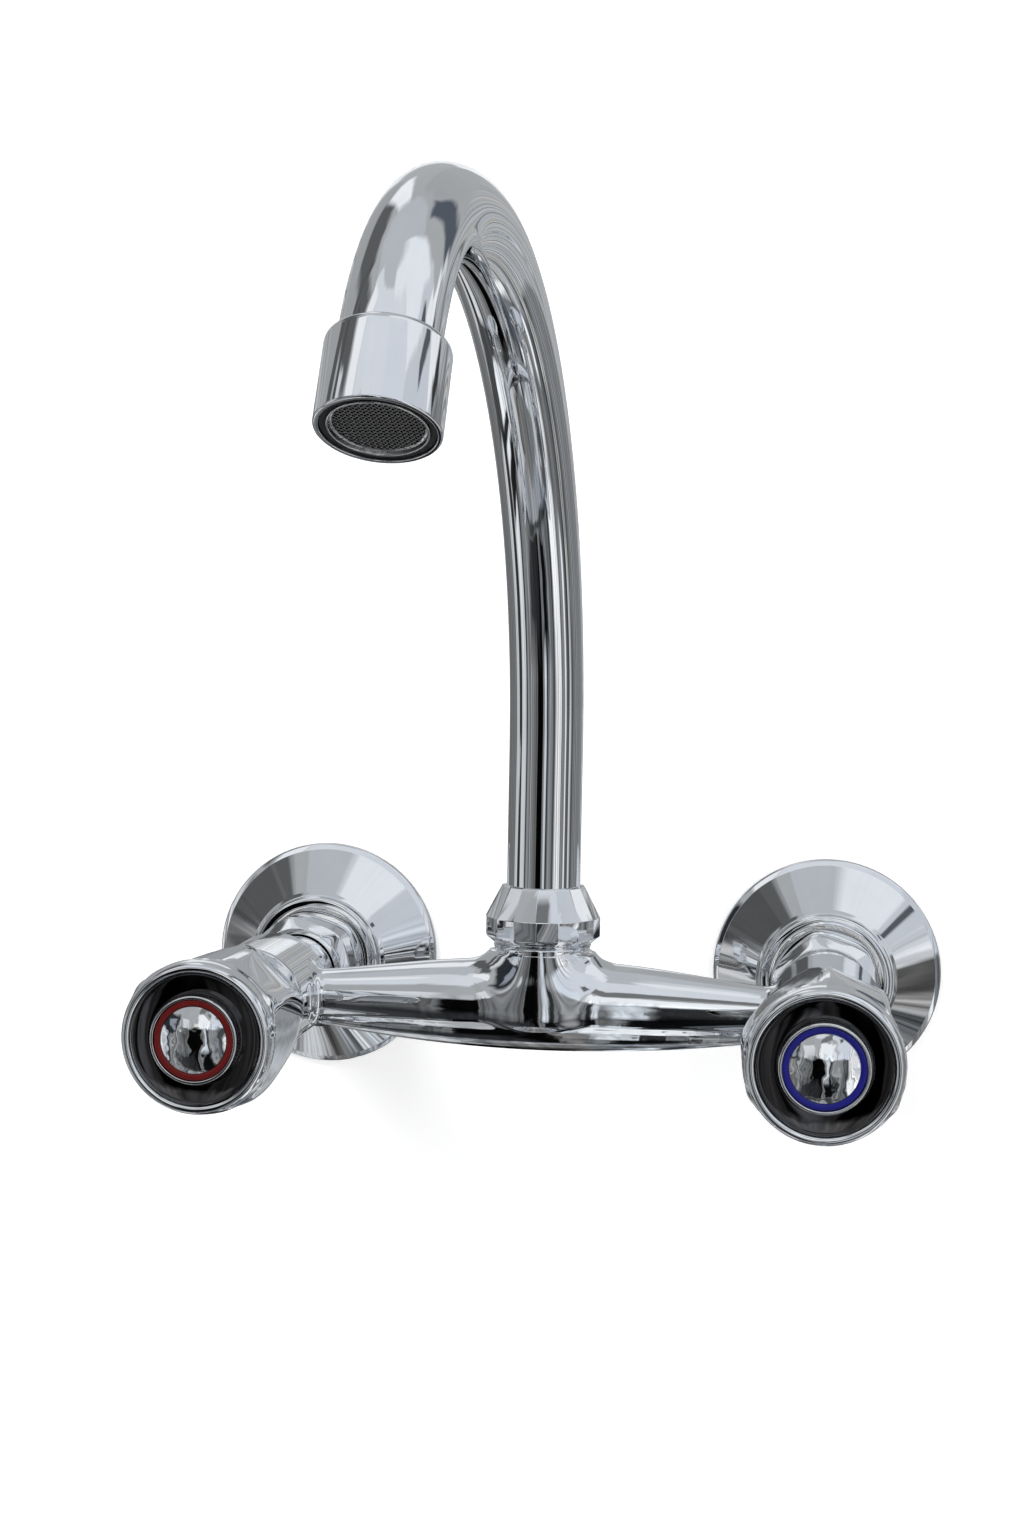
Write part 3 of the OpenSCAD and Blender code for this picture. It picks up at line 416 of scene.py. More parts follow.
def metal(name, tint, rough, wave=0.0, grain=0.0, spots=0.05, swell=SLOW_SWELL):
    """Plated or bare metal: polish marks in the gloss, faint clouds in the tint."""
    made = Finish(name)
    if made.fresh:
        polish = made.noise(POLISH, 5.0, 0.6)
        surface = {
            "Base Color": made.tone(made.noise(CLOUDS, 4.0), *shades(tint, 1 - spots)),
            "Roughness": made.spread(polish, *rough),
            "Metallic": 1.0,
        }
        normal = made.bump(made.noise(swell, 1.0, 0.3), wave) if wave else None
        if grain:
            normal = made.bump(polish, grain, 0.5, normal)
        if normal is not None:
            surface["Normal"] = normal
        made.fill(made.shader, surface)
    return made.material


def plain_solid(name, low, high, rough, grain, coat=0.0):
    """Rubber, ceramic, enamel or moulded plastic with a fine skin."""
    made = Finish(name)
    if made.fresh:
        skin = made.noise(SKIN, 5.0, 0.65)
        made.fill(made.shader, {
            "Base Color": made.tone(made.noise(SKIN / 5, 3.0), low, high),
            "Roughness": made.spread(skin, *rough),
            "Normal": made.bump(skin, grain, 0.6),
            "Coat Weight": coat,
            "Coat Roughness": 0.06,
        })
    return made.material


def chrome(colours):
    return metal("polished chrome", colours.chrome, (0.025, 0.06), wave=0.00005)


def knob_chrome(colours, name, side):
    """The knob's plating, with a painted dark reflection in the dish round its button."""
    made = Finish("knob chrome " + name)
    if made.fresh:
        where = made.add("ShaderNodeTexCoord").outputs["Object"]
        from_axis = made.add(
            "ShaderNodeMapping", {"Vector": where, "Location": (-side * VALVE_X * MM, 0, -VALVE_Z * MM)}
        )
        apart = made.add("ShaderNodeSeparateXYZ", {0: from_axis.outputs["Vector"]}).outputs
        flat = made.add("ShaderNodeCombineXYZ", {"X": apart["X"], "Y": apart["Z"]})
        reach = made.add("ShaderNodeVectorMath", {0: flat.outputs[0]}, operation="LENGTH")
        inside = made.spread(reach.outputs["Value"], 1.0, 0.0, *PAINTED_DISH_EDGE)
        front = made.spread(apart["Y"], 1.0, 0.0, *PAINTED_DISH_DEPTH)
        plating = made.tone(made.noise(CLOUDS, 4.0), *shades(colours.chrome, 0.95))
        # Painted reflection: a dark tone in the dish, standing in for the dark surroundings that the chrome
        # mirrors there.
        nickel = made.tone(made.noise(60.0, 3.0), *shades(colours.dish, 0.8))
        painted_dish_share = made.maths("MULTIPLY", inside, front)
        both = made.add("ShaderNodeMix", {0: painted_dish_share, 6: plating, 7: nickel}, data_type="RGBA")
        made.fill(made.shader, {
            "Base Color": both.outputs[2],
            "Roughness": made.spread(made.noise(POLISH, 5.0, 0.6), 0.025, 0.06),
            "Normal": made.bump(made.noise(SLOW_SWELL, 1.0, 0.3), 0.00005),
            "Metallic": 1.0,
        })
    return made.material


def bright_chrome(colours):
    return metal("turned chrome", colours.chrome, (0.02, 0.05), wave=0.000012)


def dome_chrome(colours):
    return metal("stamped chrome", colours.chrome, (0.02, 0.05), wave=0.00022, swell=330.0)


def satin_chrome(colours):
    return metal("satin chrome", colours.satin, (0.09, 0.15), grain=0.00001)


def steel_wire():
    return metal("stainless wire", (0.22, 0.22, 0.22), (0.22, 0.3), grain=0.00001, spots=0.2)


def steel_ring():
    return metal("stainless ring", (0.66, 0.66, 0.66), (0.12, 0.2), grain=0.00001, spots=0.1)


def bare_brass():
    return metal("bare brass", (0.72, 0.56, 0.29), (0.2, 0.34), grain=0.00002, spots=0.15)


def dull_nickel():
    return metal("dull nickel", (0.5, 0.49, 0.47), (0.18, 0.3), grain=0.00001, spots=0.12)


def black_rubber():
    low, high = (0.004, 0.004, 0.0045), (0.012, 0.012, 0.013)
    return plain_solid("nitrile rubber", low, high, (0.45, 0.65), 0.00002)


def lapped_ceramic():
    low, high = (0.78, 0.77, 0.73), (0.86, 0.85, 0.82)
    return plain_solid("lapped ceramic", low, high, (0.12, 0.2), 0.000004, coat=0.2)


def acetal():
    return plain_solid("acetal", (0.74, 0.72, 0.66), (0.8, 0.78, 0.73), (0.4, 0.5), 0.00001)


def enamel(colours, name):
    """The red or blue of an index ring."""
    low, high = shades(getattr(colours, name), 0.82)
    return plain_solid(name + " enamel", low, high, (0.3, 0.4), 0.000006, coat=0.02)


# The casting's surface, as a rounded union of its turned shapes


def smallest(a, b, width):
    """The smaller of two distances, rounded where they are nearly equal."""
    h = np.clip(0.5 + 0.5 * (b - a) / width, 0, 1)
    return b * (1 - h) + a * h - width * h * (1 - h)


def rounded_box(across, along, half_across, half_along, edge):
    """Distance to a rounded rectangle, from its middle."""
    u = np.abs(across) - (half_across - edge)
    v = np.abs(along) - (half_along - edge)
    outside = np.hypot(np.maximum(u, 0), np.maximum(v, 0))
    return np.minimum(np.maximum(u, v), 0) + outside - edge


def casting_distance(p, boss_fillet, joint_fillet, keel_fillet):
    """Distance from the casting's skin, in millimetres; negative inside the metal."""
    x, y, z = p[:, 0], p[:, 1], p[:, 2] - VALVE_Z
    beside = np.abs(x)
    depth = -y
    from_axis = np.hypot(beside - VALVE_X, z)
    edge = np.where(depth < HOUSING_MIDDLE, HOUSING_BACK_EDGE, HOUSING_FRONT_EDGE)
    housing = rounded_box(from_axis, depth - HOUSING_MIDDLE, HOUSING_R, HOUSING_HALF, edge)
    neck = rounded_box(from_axis, depth - NECK_MIDDLE, NECK_R, NECK_HALF, NECK_EDGE)
    housing = smallest(housing, neck, NECK_FILLET)

    # The bar is even in its middle, tapers outwards and ends even again.
    taper = smallest(np.full(len(p), BAR_R), TAPER_START - TAPER_SLOPE * beside, BAR_FILLET)
    bar_r = -smallest(-taper, np.full(len(p), -BAR_END_R), BAR_END_FILLET)
    bar = (np.hypot(y - BAR_Y, z - BAR_RISE) - bar_r) * TAPER_COSINE
    bar = np.maximum(bar, beside - BAR_REACH)

    # The keel thins, rises and draws back on its way outwards.
    u = np.clip(beside / KEEL_SPAN, 0, KEEL_MOST)
    keel_y = BAR_Y - KEEL_AHEAD + KEEL_DRAW_BACK * u * u
    keel = np.hypot(y - keel_y, z + KEEL_DROP - KEEL_LIFT * u * u)
    keel = keel - np.maximum(KEEL_R - KEEL_THINNING * u * u, KEEL_END_R)
    keel = np.maximum(keel, beside - KEEL_REACH)

    from_swivel = np.hypot(x, y - BAR_Y)
    boss_r = np.interp(z, [BOSS_FOOT, BOSS_TOP], [BOSS_FOOT_R, BOSS_TOP_R])
    boss = rounded_box(from_swivel, z - BOSS_MIDDLE, boss_r, BOSS_HALF, BOSS_EDGE)
    boss = np.maximum(boss, BOSS_FOOT - z)
    groove = np.hypot(from_swivel - GROOVE_R, z - GROOVE_HEIGHT) - GROOVE_DEPTH
    collar = rounded_box(from_swivel, z - COLLAR_MIDDLE, COLLAR_R, COLLAR_HALF, COLLAR_EDGE)

    middle = smallest(bar, boss, boss_fillet)
    middle = np.maximum(middle, -groove)
    middle = smallest(middle, keel, keel_fillet)
    middle = np.minimum(middle, collar)
    return smallest(middle, housing, joint_fillet)


def slope(field, p, step=0.02):
    grad = np.empty_like(p)
    for i in range(3):
        shift = np.zeros(3)
        shift[i] = step
        grad[:, i] = field(p + shift) - field(p - shift)
    return grad / (2 * step)


def settle(piece, field, rounds=4, steps=3, reach=0.4):
    """Evens the mesh out and lays every vertex on the field's zero surface."""
    own, others, least = 0.45, 0.55, 0.2
    mesh = piece.data
    edges = np.empty(len(mesh.edges) * 2, dtype=np.int64)
    mesh.edges.foreach_get("vertices", edges)
    a, b = edges.reshape(-1, 2).T
    p = read_points(piece) / MM
    count = np.bincount(np.concatenate((a, b)), minlength=len(p)).astype(float)
    for round_no in range(rounds):
        if round_no:
            total = np.zeros_like(p)
            for i in range(3):
                total[:, i] = np.bincount(a, p[b, i], len(p)) + np.bincount(b, p[a, i], len(p))
            p = own * p + others * total / count[:, None]
        for _ in range(steps):
            value = field(p)
            grad = slope(field, p)
            steepness = np.maximum((grad * grad).sum(axis=1), least)
            step = np.clip(value / steepness, -reach, reach)
            p = p - grad * step[:, None]
    write_points(piece, p * MM)


def join(pieces):
    clear_selection()
    for piece in pieces:
        piece.select_set(True)
    bpy.context.view_layer.objects.active = pieces[0]
    bpy.ops.object.join()
    return bpy.context.object


def rod(radius, start, end, radius_end):
    """A plain rod between two points in millimetres, as stock for the casting."""
    start, end = Vector(start) * MM, Vector(end) * MM
    clear_selection()
    bpy.ops.mesh.primitive_cone_add(
        vertices=48, radius1=radius * MM, radius2=radius_end * MM,
        depth=(end - start).length, location=(start + end) / 2,
        rotation=(end - start).to_track_quat("Z", "Y").to_euler(),
    )
    return bpy.context.object


class MIXER_OT_casting(bpy.types.Operator):
    """Casts the body: two valve housings with necks, the bar, the keel and the boss"""

    bl_idname = "mixer.casting"
    bl_label = "Casting"

    def execute(self, context):
        sizes, colours = context.scene.mixer_sizes, context.scene.mixer_colours
        bar_z = VALVE_Z + BAR_RISE
        back, front = HOUSING_MIDDLE - HOUSING_HALF, HOUSING_MIDDLE + HOUSING_HALF
        # Rough stock, each rod with its radius at both ends; the skin settles on it afterwards.
        stock = [
            rod(radius, (side * start[0], *start[1:]), (side * end[0], *end[1:]), radius_end)
            for side in SIDES.values()
            for radius, start, end, radius_end in (
                (HOUSING_R, (VALVE_X, -back, VALVE_Z), (VALVE_X, -front, VALVE_Z), HOUSING_R),
                (NECK_R, (VALVE_X, -36.2, VALVE_Z), (VALVE_X, -80, VALVE_Z), NECK_R),
                (BAR_R, (15, BAR_Y, bar_z), (62, BAR_Y, bar_z), BAR_END_R),
                (4.2, (0, -82.8, 0), (40, -80.8, -0.2), 3.0),
                (3.0, (38, -80.9, -0.2), (62, -79.4, 0.2), 1.6),
            )
        ]
        stock.append(rod(BAR_R, (-22, BAR_Y, bar_z), (22, BAR_Y, bar_z), BAR_R))
        for radius, foot, top, radius_end in (
            (BOSS_FOOT_R, BOSS_FOOT, BOSS_TOP, BOSS_TOP_R),
            (COLLAR_R, COLLAR_MIDDLE - COLLAR_HALF, COLLAR_MIDDLE + COLLAR_HALF, COLLAR_R),
        ):
            stock.append(rod(radius, (0, BAR_Y, VALVE_Z + foot), (0, BAR_Y, VALVE_Z + top), radius_end))
        body = join(stock)
        body.name = body.data.name = "casting"
        pick(body)
        bpy.ops.object.transform_apply(location=True, rotation=True, scale=True)
        remesh = body.modifiers.new("skin", "REMESH")
        remesh.mode = "VOXEL"
        remesh.voxel_size = sizes.casting_grain
        apply_modifiers(body)
        fillets = [v / MM for v in (sizes.boss_fillet, sizes.joint_fillet, sizes.keel_fillet)]
        settle(body, lambda p: casting_distance(p, *fillets))
        smooth(body, 50)
        finish_piece(body, chrome(colours), "chrome", "root", "mixer_body")
        return {"FINISHED"}


class MIXER_OT_wall_covers(bpy.types.Operator):
    """Spins the two thin covers that hide the wall unions"""

    bl_idname = "mixer.wall_covers"
    bl_label = "Wall Covers"

    def execute(self, context):
        sizes, colours = context.scene.mixer_sizes, context.scene.mixer_colours
        outer = rounded(
            [(32.2, 0.0, 0), (33.2, 0.0, 0.15), (33.2, 2.1, 0.9), (31.6, 3.2, 0.8), (20.2, 15.6, 3.0),
             (19.3, 16.9, 0.5), (19.0, 17.0, 0.2), (18.95, 20.0, 1.1), (16.3, 20.0, 0.35), (16.3, 15.8, 0)], 5
        )
        inner = curve_points((16.3, 15.8), (22.6, 8.4), (30.9, 2.0), 8) + [(32.2, 1.5)]
        for name, side in SIDES.items():
            cover = turn("wall_cover_" + name, outer + inner, sizes.turning_steps, closed=True)
            place(cover, on_valve(side))
            smooth(cover)
            finish_piece(cover, bright_chrome(colours), "chrome", "root", "wall_flange_" + name)
        return {"FINISHED"}


def scale_sideways(p, scale):
    """Moves points away from the turning axis by a factor of their own."""
    p[:, 0] *= scale
    p[:, 1] *= scale


def mill_flats(piece, count, first, distance, low, high, width):
    """Presses flats into a turned piece: each vertex stays within its flat's plane."""
    p = read_points(piece) / MM
    r = np.hypot(p[:, 0], p[:, 1])
    angle = np.arctan2(p[:, 1], p[:, 0])
    step = 2 * math.pi / count
    off = (angle - first + step / 2) % step - step / 2
    run_out, lift, wall = 1.5, 3, 1.5
    fade = np.clip((low - p[:, 2]) / run_out, 0, 1) + np.clip((p[:, 2] - high) / run_out, 0, 1)
    limit = distance / np.cos(off) + fade * lift
    new = np.where(r > distance - wall, smallest(r, limit, width), r)
    scale_sideways(p, np.divide(new, r, out=np.ones_like(r), where=r > 0.01))
    write_points(piece, p * MM)


class MIXER_OT_union_nuts(bpy.types.Operator):
    """Turns the two captive nuts and mills six shallow flats on each"""

    bl_idname = "mixer.union_nuts"
    bl_label = "Union Nuts"

    def execute(self, context):
        sizes, colours = context.scene.mixer_sizes, context.scene.mixer_colours
        profile = rounded(
            [(13.3, 16.0, 0), (15.0, 16.0, 0.2), (15.8, 16.8, 0.3), (15.8, 39.4, 1.2), (12.7, 42.0, 0.5),
             (11.1, 42.0, 0.2), (11.1, 36.2, 0), (13.3, 36.2, 0)], 6
        )
        for name, side in SIDES.items():
            nut = turn("union_nut_" + name + "_plated", profile, sizes.turning_steps, closed=True)
            mill_flats(nut, 6, math.radians(13), 15.15, 19.0, 41.0, 1.8)
            place(nut, on_valve(side))
            smooth(nut, 25)
            finish_piece(nut, bright_chrome(colours), "chrome", "root", "union_nut_" + name)
        return {"FINISHED"}


def knob_limit(angle, depth, width):
    """How far the knob's skin may stand from its axis: flats, lobes and their ridges."""
    step = 2 * math.pi / 3
    on_flat = (angle + step / 2) % step - step / 2
    on_lobe = angle % step - step / 2
    end = np.clip((depth - CUTS_END) / CUTS_RUN_OUT, 0, 1)
    free = CUTS_LIFT * end * end
    flat = FLAT_REACH / np.cos(on_flat) + free
    leaning = (LOBE_FOOT_REACH + math.tan(LOBE_LEAN) * (depth - KNOB_MOUTH)) / np.cos(on_lobe)
    upright = LOBE_REACH / np.cos(on_lobe)
    lobe = smallest(leaning, upright, LOBE_FILLET) + free
    cut = smallest(flat, lobe, width)
    return -smallest(-cut, np.full(len(cut), -SKIN_LEAST_R), SKIN_LEAST_FILLET)


class MIXER_OT_knobs(bpy.types.Operator):
    """Shapes the two three-lobed knobs"""

    bl_idname = "mixer.knobs"
    bl_label = "Knobs"

    def execute(self, context):
        sizes, colours = context.scene.mixer_sizes, context.scene.mixer_colours
        width = sizes.ridge_round / MM
        barrel = [(15.1, KNOB_MOUTH), (15.5, 98.8), (15.6, 99.2)]
        # Each bend starts where the last one ends, then: its corner, its end and its points.
        for corner, end, steps in (
            ((21.5, 114.6), (21.5, 124.6), 14),
            ((21.5, 136.5), (19.7, 140.5), 12),
            ((19.0, 142.0), (18.75, 142.6), 4),
            ((18.75, 147.0), (17.2, 147.0), 10),
            ((16.55, 147.0), (16.3, 146.55), 5),
            ((15.95, 145.75), (15.2, 145.55), 6),
            ((12.6, 144.95), (11.1, 144.85), 6),
        ):
            barrel += curve_points(barrel[-1], corner, end, steps)
        barrel += [(10.87, 144.7), (10.87, 141.0), (4.3, 141.0), (4.3, 128.0), (4.1, 127.8), (4.1, 111.4)]
        barrel += [(7.5, 111.4), (7.5, 135.0), (12.4, 135.0), (13.1, 134.0), (12.6, 118.0)]
        barrel += [(12.0, 103.6), (12.0, KNOB_MOUTH)]
        turns = {"hot": math.radians(107), "cold": math.radians(8)}
        for name, side in SIDES.items():
            knob = turn("knob_" + name, barrel, 2 * sizes.turning_steps, closed=True)
            p = read_points(knob) / MM
            r, depth = np.hypot(p[:, 0], p[:, 1]), p[:, 2]
            angle = np.arctan2(p[:, 1], p[:, 0]) - turns[name]
            skin = (r > KNOB_BORE) & (depth < KNOB_RIM) & ((r > SKIN_LEAST_R) | (depth < KNOB_LIP))
            limit = smallest(r, knob_limit(angle, depth, width), width * 0.7)
            scale_sideways(p, np.where(skin, limit / np.maximum(r, 1), 1.0))
            write_points(knob, p * MM)
            place(knob, on_valve(side))
            smooth(knob, 38)
            plating = knob_chrome(colours, name, side)
            finish_piece(knob, plating, "chrome", name + "_handle", "handle_shell_" + name)
        return {"FINISHED"}


class MIXER_OT_index_buttons(bpy.types.Operator):
    """Makes the bezel, the enamel ring and the polished dome of each knob"""

    bl_idname = "mixer.index_buttons"
    bl_label = "Index Buttons"

    def execute(self, context):
        sizes, colours = context.scene.mixer_sizes, context.scene.mixer_colours
        bezel_line = rounded(
            [(0, 141.1, 0), (10.8, 141.1, 0.1), (10.8, 148.0, 0.45), (9.95, 148.0, 0.2),
             (9.9, 146.4, 0), (8.2, 146.4, 0), (8.2, 144.1, 0), (0, 144.1, 0)], 5
        )
        ring_line = rounded(
            [(8.25, 146.42, 0), (9.85, 146.42, 0), (9.85, 147.5, 0.35), (8.25, 147.4, 0.2),
             (8.25, 146.42, 0)], 4
        )[:-1]
        dome_r, dome_rise, dome_tip = 8.1, 2.0, 149.4
        sphere_r = (dome_r ** 2 + dome_rise ** 2) / (2 * dome_rise)
        arc = [
            (sphere_r * math.sin(t), dome_tip - sphere_r * (1 - math.cos(t)))
            for t in (math.asin(dome_r / sphere_r) * (1 - k / 18) for k in range(18))
        ]
        dome_line = [(0, 144.12), (8.0, 144.12), (dome_r, 144.3), (dome_r, 147.25)] + arc + [(0, dome_tip)]
        slots = {"hot": "hot_red", "cold": "cold_blue"}
        for name, side in SIDES.items():
            body = name + "_handle"
            bezel = turn("bezel_" + name, bezel_line, sizes.turning_steps)
            ring = turn("enamel_ring_" + name, ring_line, sizes.turning_steps, closed=True)
            dome = turn("dome_" + name, dome_line, sizes.turning_steps)
            for piece in (bezel, ring, dome):
                place(piece, on_valve(side))
                smooth(piece)
            finish_piece(bezel, satin_chrome(colours), "satin_chrome", body, "index_bezel_" + name)
            finish_piece(ring, enamel(colours, name), slots[name], body, "index_ring_" + name)
            finish_piece(dome, dome_chrome(colours), "chrome", body, "index_dome_" + name)
        return {"FINISHED"}


class MIXER_OT_spout_nut(bpy.types.Operator):
    """Cuts the faceted nut that holds the spout"""

    bl_idname = "mixer.spout_nut"
    bl_label = "Spout Nut"

    def execute(self, context):
        colours = context.scene.mixer_colours
        facets, facet_reach, cone_reach = 16, 15.0, 10.8
        corner = facet_reach / math.cos(math.pi / facets)
        blank = [
            (12.0, 17.0), (13.25, 17.0), (corner + 0.6, 19.2), (corner + 0.6, 22.6), (11.3, 31.8),
            (10.35, 31.8), (9.95, 31.2), (9.95, 26.6), (12.0, 26.6),
        ]
        nut = turn("spout_nut_plated", blank, 192, closed=True)

        # The faceted block that the round blank is cut down to: upright faces, then a cone.
        clear_selection()
        bpy.ops.mesh.primitive_cylinder_add(
            vertices=facets, radius=corner * MM, depth=6.9 * MM, location=(0, 0, 20.15 * MM)
        )
        prism = bpy.context.object
        bpy.ops.object.mode_set(mode="EDIT")
        bpy.ops.mesh.select_all(action="DESELECT")
        bpy.ops.object.mode_set(mode="OBJECT")
        for face in prism.data.polygons:
            face.select = face.normal.z > 0.9
        bpy.ops.object.mode_set(mode="EDIT")
        bpy.ops.mesh.extrude_region_move(TRANSFORM_OT_translate={"value": (0, 0, 8.2 * MM)})
        top = cone_reach / facet_reach
        bpy.ops.transform.resize(value=(top, top, 1), center_override=(0, 0, 31.8 * MM))
        bpy.ops.mesh.extrude_region_move(TRANSFORM_OT_translate={"value": (0, 0, 1.0 * MM)})
        bpy.ops.object.mode_set(mode="OBJECT")
        pick(prism)
        bpy.ops.object.transform_apply(location=True, rotation=True, scale=True)

        cut = nut.modifiers.new("facets", "BOOLEAN")
        cut.operation = "INTERSECT"
        cut.object = prism
        cut.solver = "EXACT"
        edge = nut.modifiers.new("edges", "BEVEL")
        edge.width = 0.16 * MM
        edge.segments = 2
        edge.limit_method = "ANGLE"
        edge.angle_limit = math.radians(14)
        apply_modifiers(nut)
        bpy.data.objects.remove(prism)
        place(nut, on_swivel())
        smooth(nut, 12)
        finish_piece(nut, bright_chrome(colours), "chrome", "root", "spout_nut")
        return {"FINISHED"}


class MIXER_OT_gooseneck(bpy.types.Operator):
    """Draws and bends the gooseneck tube"""

    bl_idname = "mixer.gooseneck"
    bl_label = "Gooseneck"

    def execute(self, context):
        sizes, colours = context.scene.mixer_sizes, context.scene.mixer_colours
        clear_selection()
        foot = on_swivel() @ Vector((0, 0, RISER_FOOT * MM))
        bpy.ops.mesh.primitive_circle_add(vertices=96, radius=sizes.tube_radius, location=foot)
        tube = bpy.context.object
        tube.name = tube.data.name = "gooseneck"
        bpy.ops.object.mode_set(mode="EDIT")
        bpy.ops.mesh.select_all(action="SELECT")
        riser_steps = 12
        rise = (RISER_TOP - RISER_FOOT) / riser_steps
        for _ in range(riser_steps):
            bpy.ops.mesh.extrude_region_move(TRANSFORM_OT_translate={"value": (0, 0, rise * MM)})
        bend = on_swivel() @ (OUTWARD * BEND_R * MM + Vector((0, 0, RISER_TOP * MM)))
        from_bend = Vector((0, 0, 1)) * math.sin(BEND_TURN) - OUTWARD * math.cos(BEND_TURN)
        hook = bend + from_bend * (BEND_R - HOOK_R) * MM
        bpy.ops.mesh.spin(steps=84, angle=-BEND_TURN, center=bend, axis=ARCH_AXIS)
        bpy.ops.mesh.spin(steps=40, angle=-HOOK_TURN, center=hook, axis=ARCH_AXIS)
        close_mesh()
        wall = tube.modifiers.new("wall", "SOLIDIFY")
        wall.thickness = 1.0 * MM
        wall.offset = -1
        apply_modifiers(tube)
        place(tube, tube.matrix_world.copy())
        smooth(tube)
        finish_piece(tube, bright_chrome(colours), "chrome", "spout", "spout_tube")
        return {"FINISHED"}


class MIXER_OT_outlet(bpy.types.Operator):
    """Turns the aerator housing, its gasket and the ring of the insert"""

    bl_idname = "mixer.outlet"
    bl_label = "Outlet"

    def execute(self, context):
        sizes, colours = context.scene.mixer_sizes, context.scene.mixer_colours
        cap_line = rounded(
            [(9.82, 0.0, 0), (11.9, 0.0, 1.95), (11.88, 18.31, 0.45), (10.85, 18.31, 0.15), (10.8, 15.5, 0),
             (10.7, 15.5, 0), (10.7, 1.2, 0), (9.82, 1.2, 0)], 8
        )
        gasket_line = rounded(
            [(9.52, 15.6, 0), (10.76, 15.6, 0), (10.76, 17.9, 0.25), (9.52, 17.6, 0.2), (9.52, 15.7, 0)], 4
        )[:-1]
        ring_line = rounded(
            [(8.5, 10.0, 0), (9.5, 10.0, 0), (9.5, 18.1, 0.2), (9.1, 18.1, 0.15), (8.95, 17.2, 0.1),
             (8.5, 17.1, 0), (8.5, 10.2, 0)], 4
        )[:-1]
        for name, line, material, slot, node in (
            ("outlet_cap", cap_line, bright_chrome(colours), "chrome", "aerator_cap"),
            ("outlet_gasket", gasket_line, black_rubber(), "rubber", "aerator_gasket"),
            ("outlet_insert_ring", ring_line, steel_ring(), "steel", "aerator_core"),
        ):
            piece = turn(name, line, sizes.turning_steps, closed=True)
            place(piece, on_outlet())
            smooth(piece)
            finish_piece(piece, material, slot, "spout", node)
        return {"FINISHED"}


class MIXER_OT_screen(bpy.types.Operator):
    """Weaves the wire screen of the outlet"""

    bl_idname = "mixer.screen"
    bl_label = "Screen"

    def execute(self, context):
        pitch = context.scene.mixer_sizes.wire_pitch
        cells, wire, weave = 28, 0.19 * MM, 0.09
        screen_r, depth_in_cap = 8.98 * MM, 17.1 * MM
        clear_selection()
        bpy.ops.mesh.primitive_grid_add(
            x_subdivisions=cells, y_subdivisions=cells, size=cells * pitch, location=(0, 0, 0)
        )
        screen = bpy.context.object
        screen.name = screen.data.name = "outlet_screen"
        p = read_points(screen)
        places = np.round(p[:, :2] / pitch + cells / 2).astype(int)
        p[:, 2] = np.where(places.sum(axis=1) % 2 == 0, weave, -weave) * MM
        write_points(screen, p)
        r = np.hypot(p[:, 0], p[:, 1])
        bpy.ops.object.mode_set(mode="EDIT")
        bpy.ops.mesh.select_mode(type="VERT")
        bpy.ops.mesh.select_all(action="DESELECT")
        bpy.ops.object.mode_set(mode="OBJECT")
        for vertex, reach in zip(screen.data.vertices, r):
            vertex.select = bool(reach > screen_r)
        bpy.ops.object.mode_set(mode="EDIT")
        bpy.ops.mesh.delete(type="VERT")
        bpy.ops.object.mode_set(mode="OBJECT")
        wires = screen.modifiers.new("wires", "WIREFRAME")
        wires.thickness = wire
        wires.use_replace = True
        wires.use_boundary = True
        apply_modifiers(screen)
        askew = Matrix.Rotation(math.radians(45), 4, "Z")
        place(screen, on_outlet() @ Matrix.Translation((0, 0, depth_in_cap)) @ askew)
        smooth(screen, 40)
        finish_piece(screen, steel_wire(), "steel", "spout", "aerator_mesh")
        return {"FINISHED"}


class MIXER_OT_inner_parts(bpy.types.Operator):
    """Gives the parts inside the mixer their finishes"""

    bl_idname = "mixer.inner_parts"
    bl_label = "Inner Parts"

    def execute(self, context):
        colours = context.scene.mixer_colours
        finishes = {
            "chrome": chrome(colours), "satin_chrome": satin_chrome(colours), "brass": bare_brass(),
            "rubber": black_rubber(), "steel": steel_ring(), "ceramic": lapped_ceramic(), "acetal": acetal(),
            "hot_red": enamel(colours, "hot"), "cold_blue": enamel(colours, "cold"),
        }
        slots = {part["node"]: part["material_slot"] for part in frame["record"]["subparts"]}
        nickel = dull_nickel()
        for name, node in frame["nodes"].items():
            finish = nickel if name.startswith("eccentric_union") else finishes[slots[name]]
            if not node.material_slots:
                node.data.materials.append(finish)
            for slot in node.material_slots:
                slot.material = finish
        return {"FINISHED"}


# The studio that the metal mirrors

# Light that the wall and floor send to the camera alone, and the world's own light on the object.
BACKDROP_GLOW = (0.52, 0.52, 0.52, 1)
AMBIENT = 0.35

# Grey of the studio where nothing hangs in front of it, as a screen level.
BASE_LEVEL = 125

# How far the edges in the studio wander: scale of the noise, then degrees sideways and upwards.
WANDER, WANDER_ASIDE, WANDER_UP = 3.4, 11.0, 17.0

# The strips are swept round the way to the viewer: that way, the degrees from it at which they
# start to count, and the share of the sideways wander that reaches them.
VIEWER_WAY = (0.137, -0.9905, 0.0)
STRIP_ZERO, STRIP_WANDER = 12.7, 0.35
STRIP_LOW, STRIP_HIGH, STRIP_SOFT = -90, 8, 1.6

# Streaks over the studio: how fine they are across and along the strips, how far they swing, their
# middle and least strength, and the heights in degrees between which they fade to FAINT.
STREAKS_ACROSS, STREAKS_ALONG, STREAK_SWING = 0.31, 0.012, 3.2
STREAK_MIDDLE, STREAK_LEAST = 0.93, 0.25
FADE_LOW, FADE_HIGH, FAINT = 4.0, 22.0, 0.02
WARM_TINT, COOL_TINT, TINT_SCALE = (1.02, 1.0, 0.985), (0.93, 0.99, 1.05), 0.06


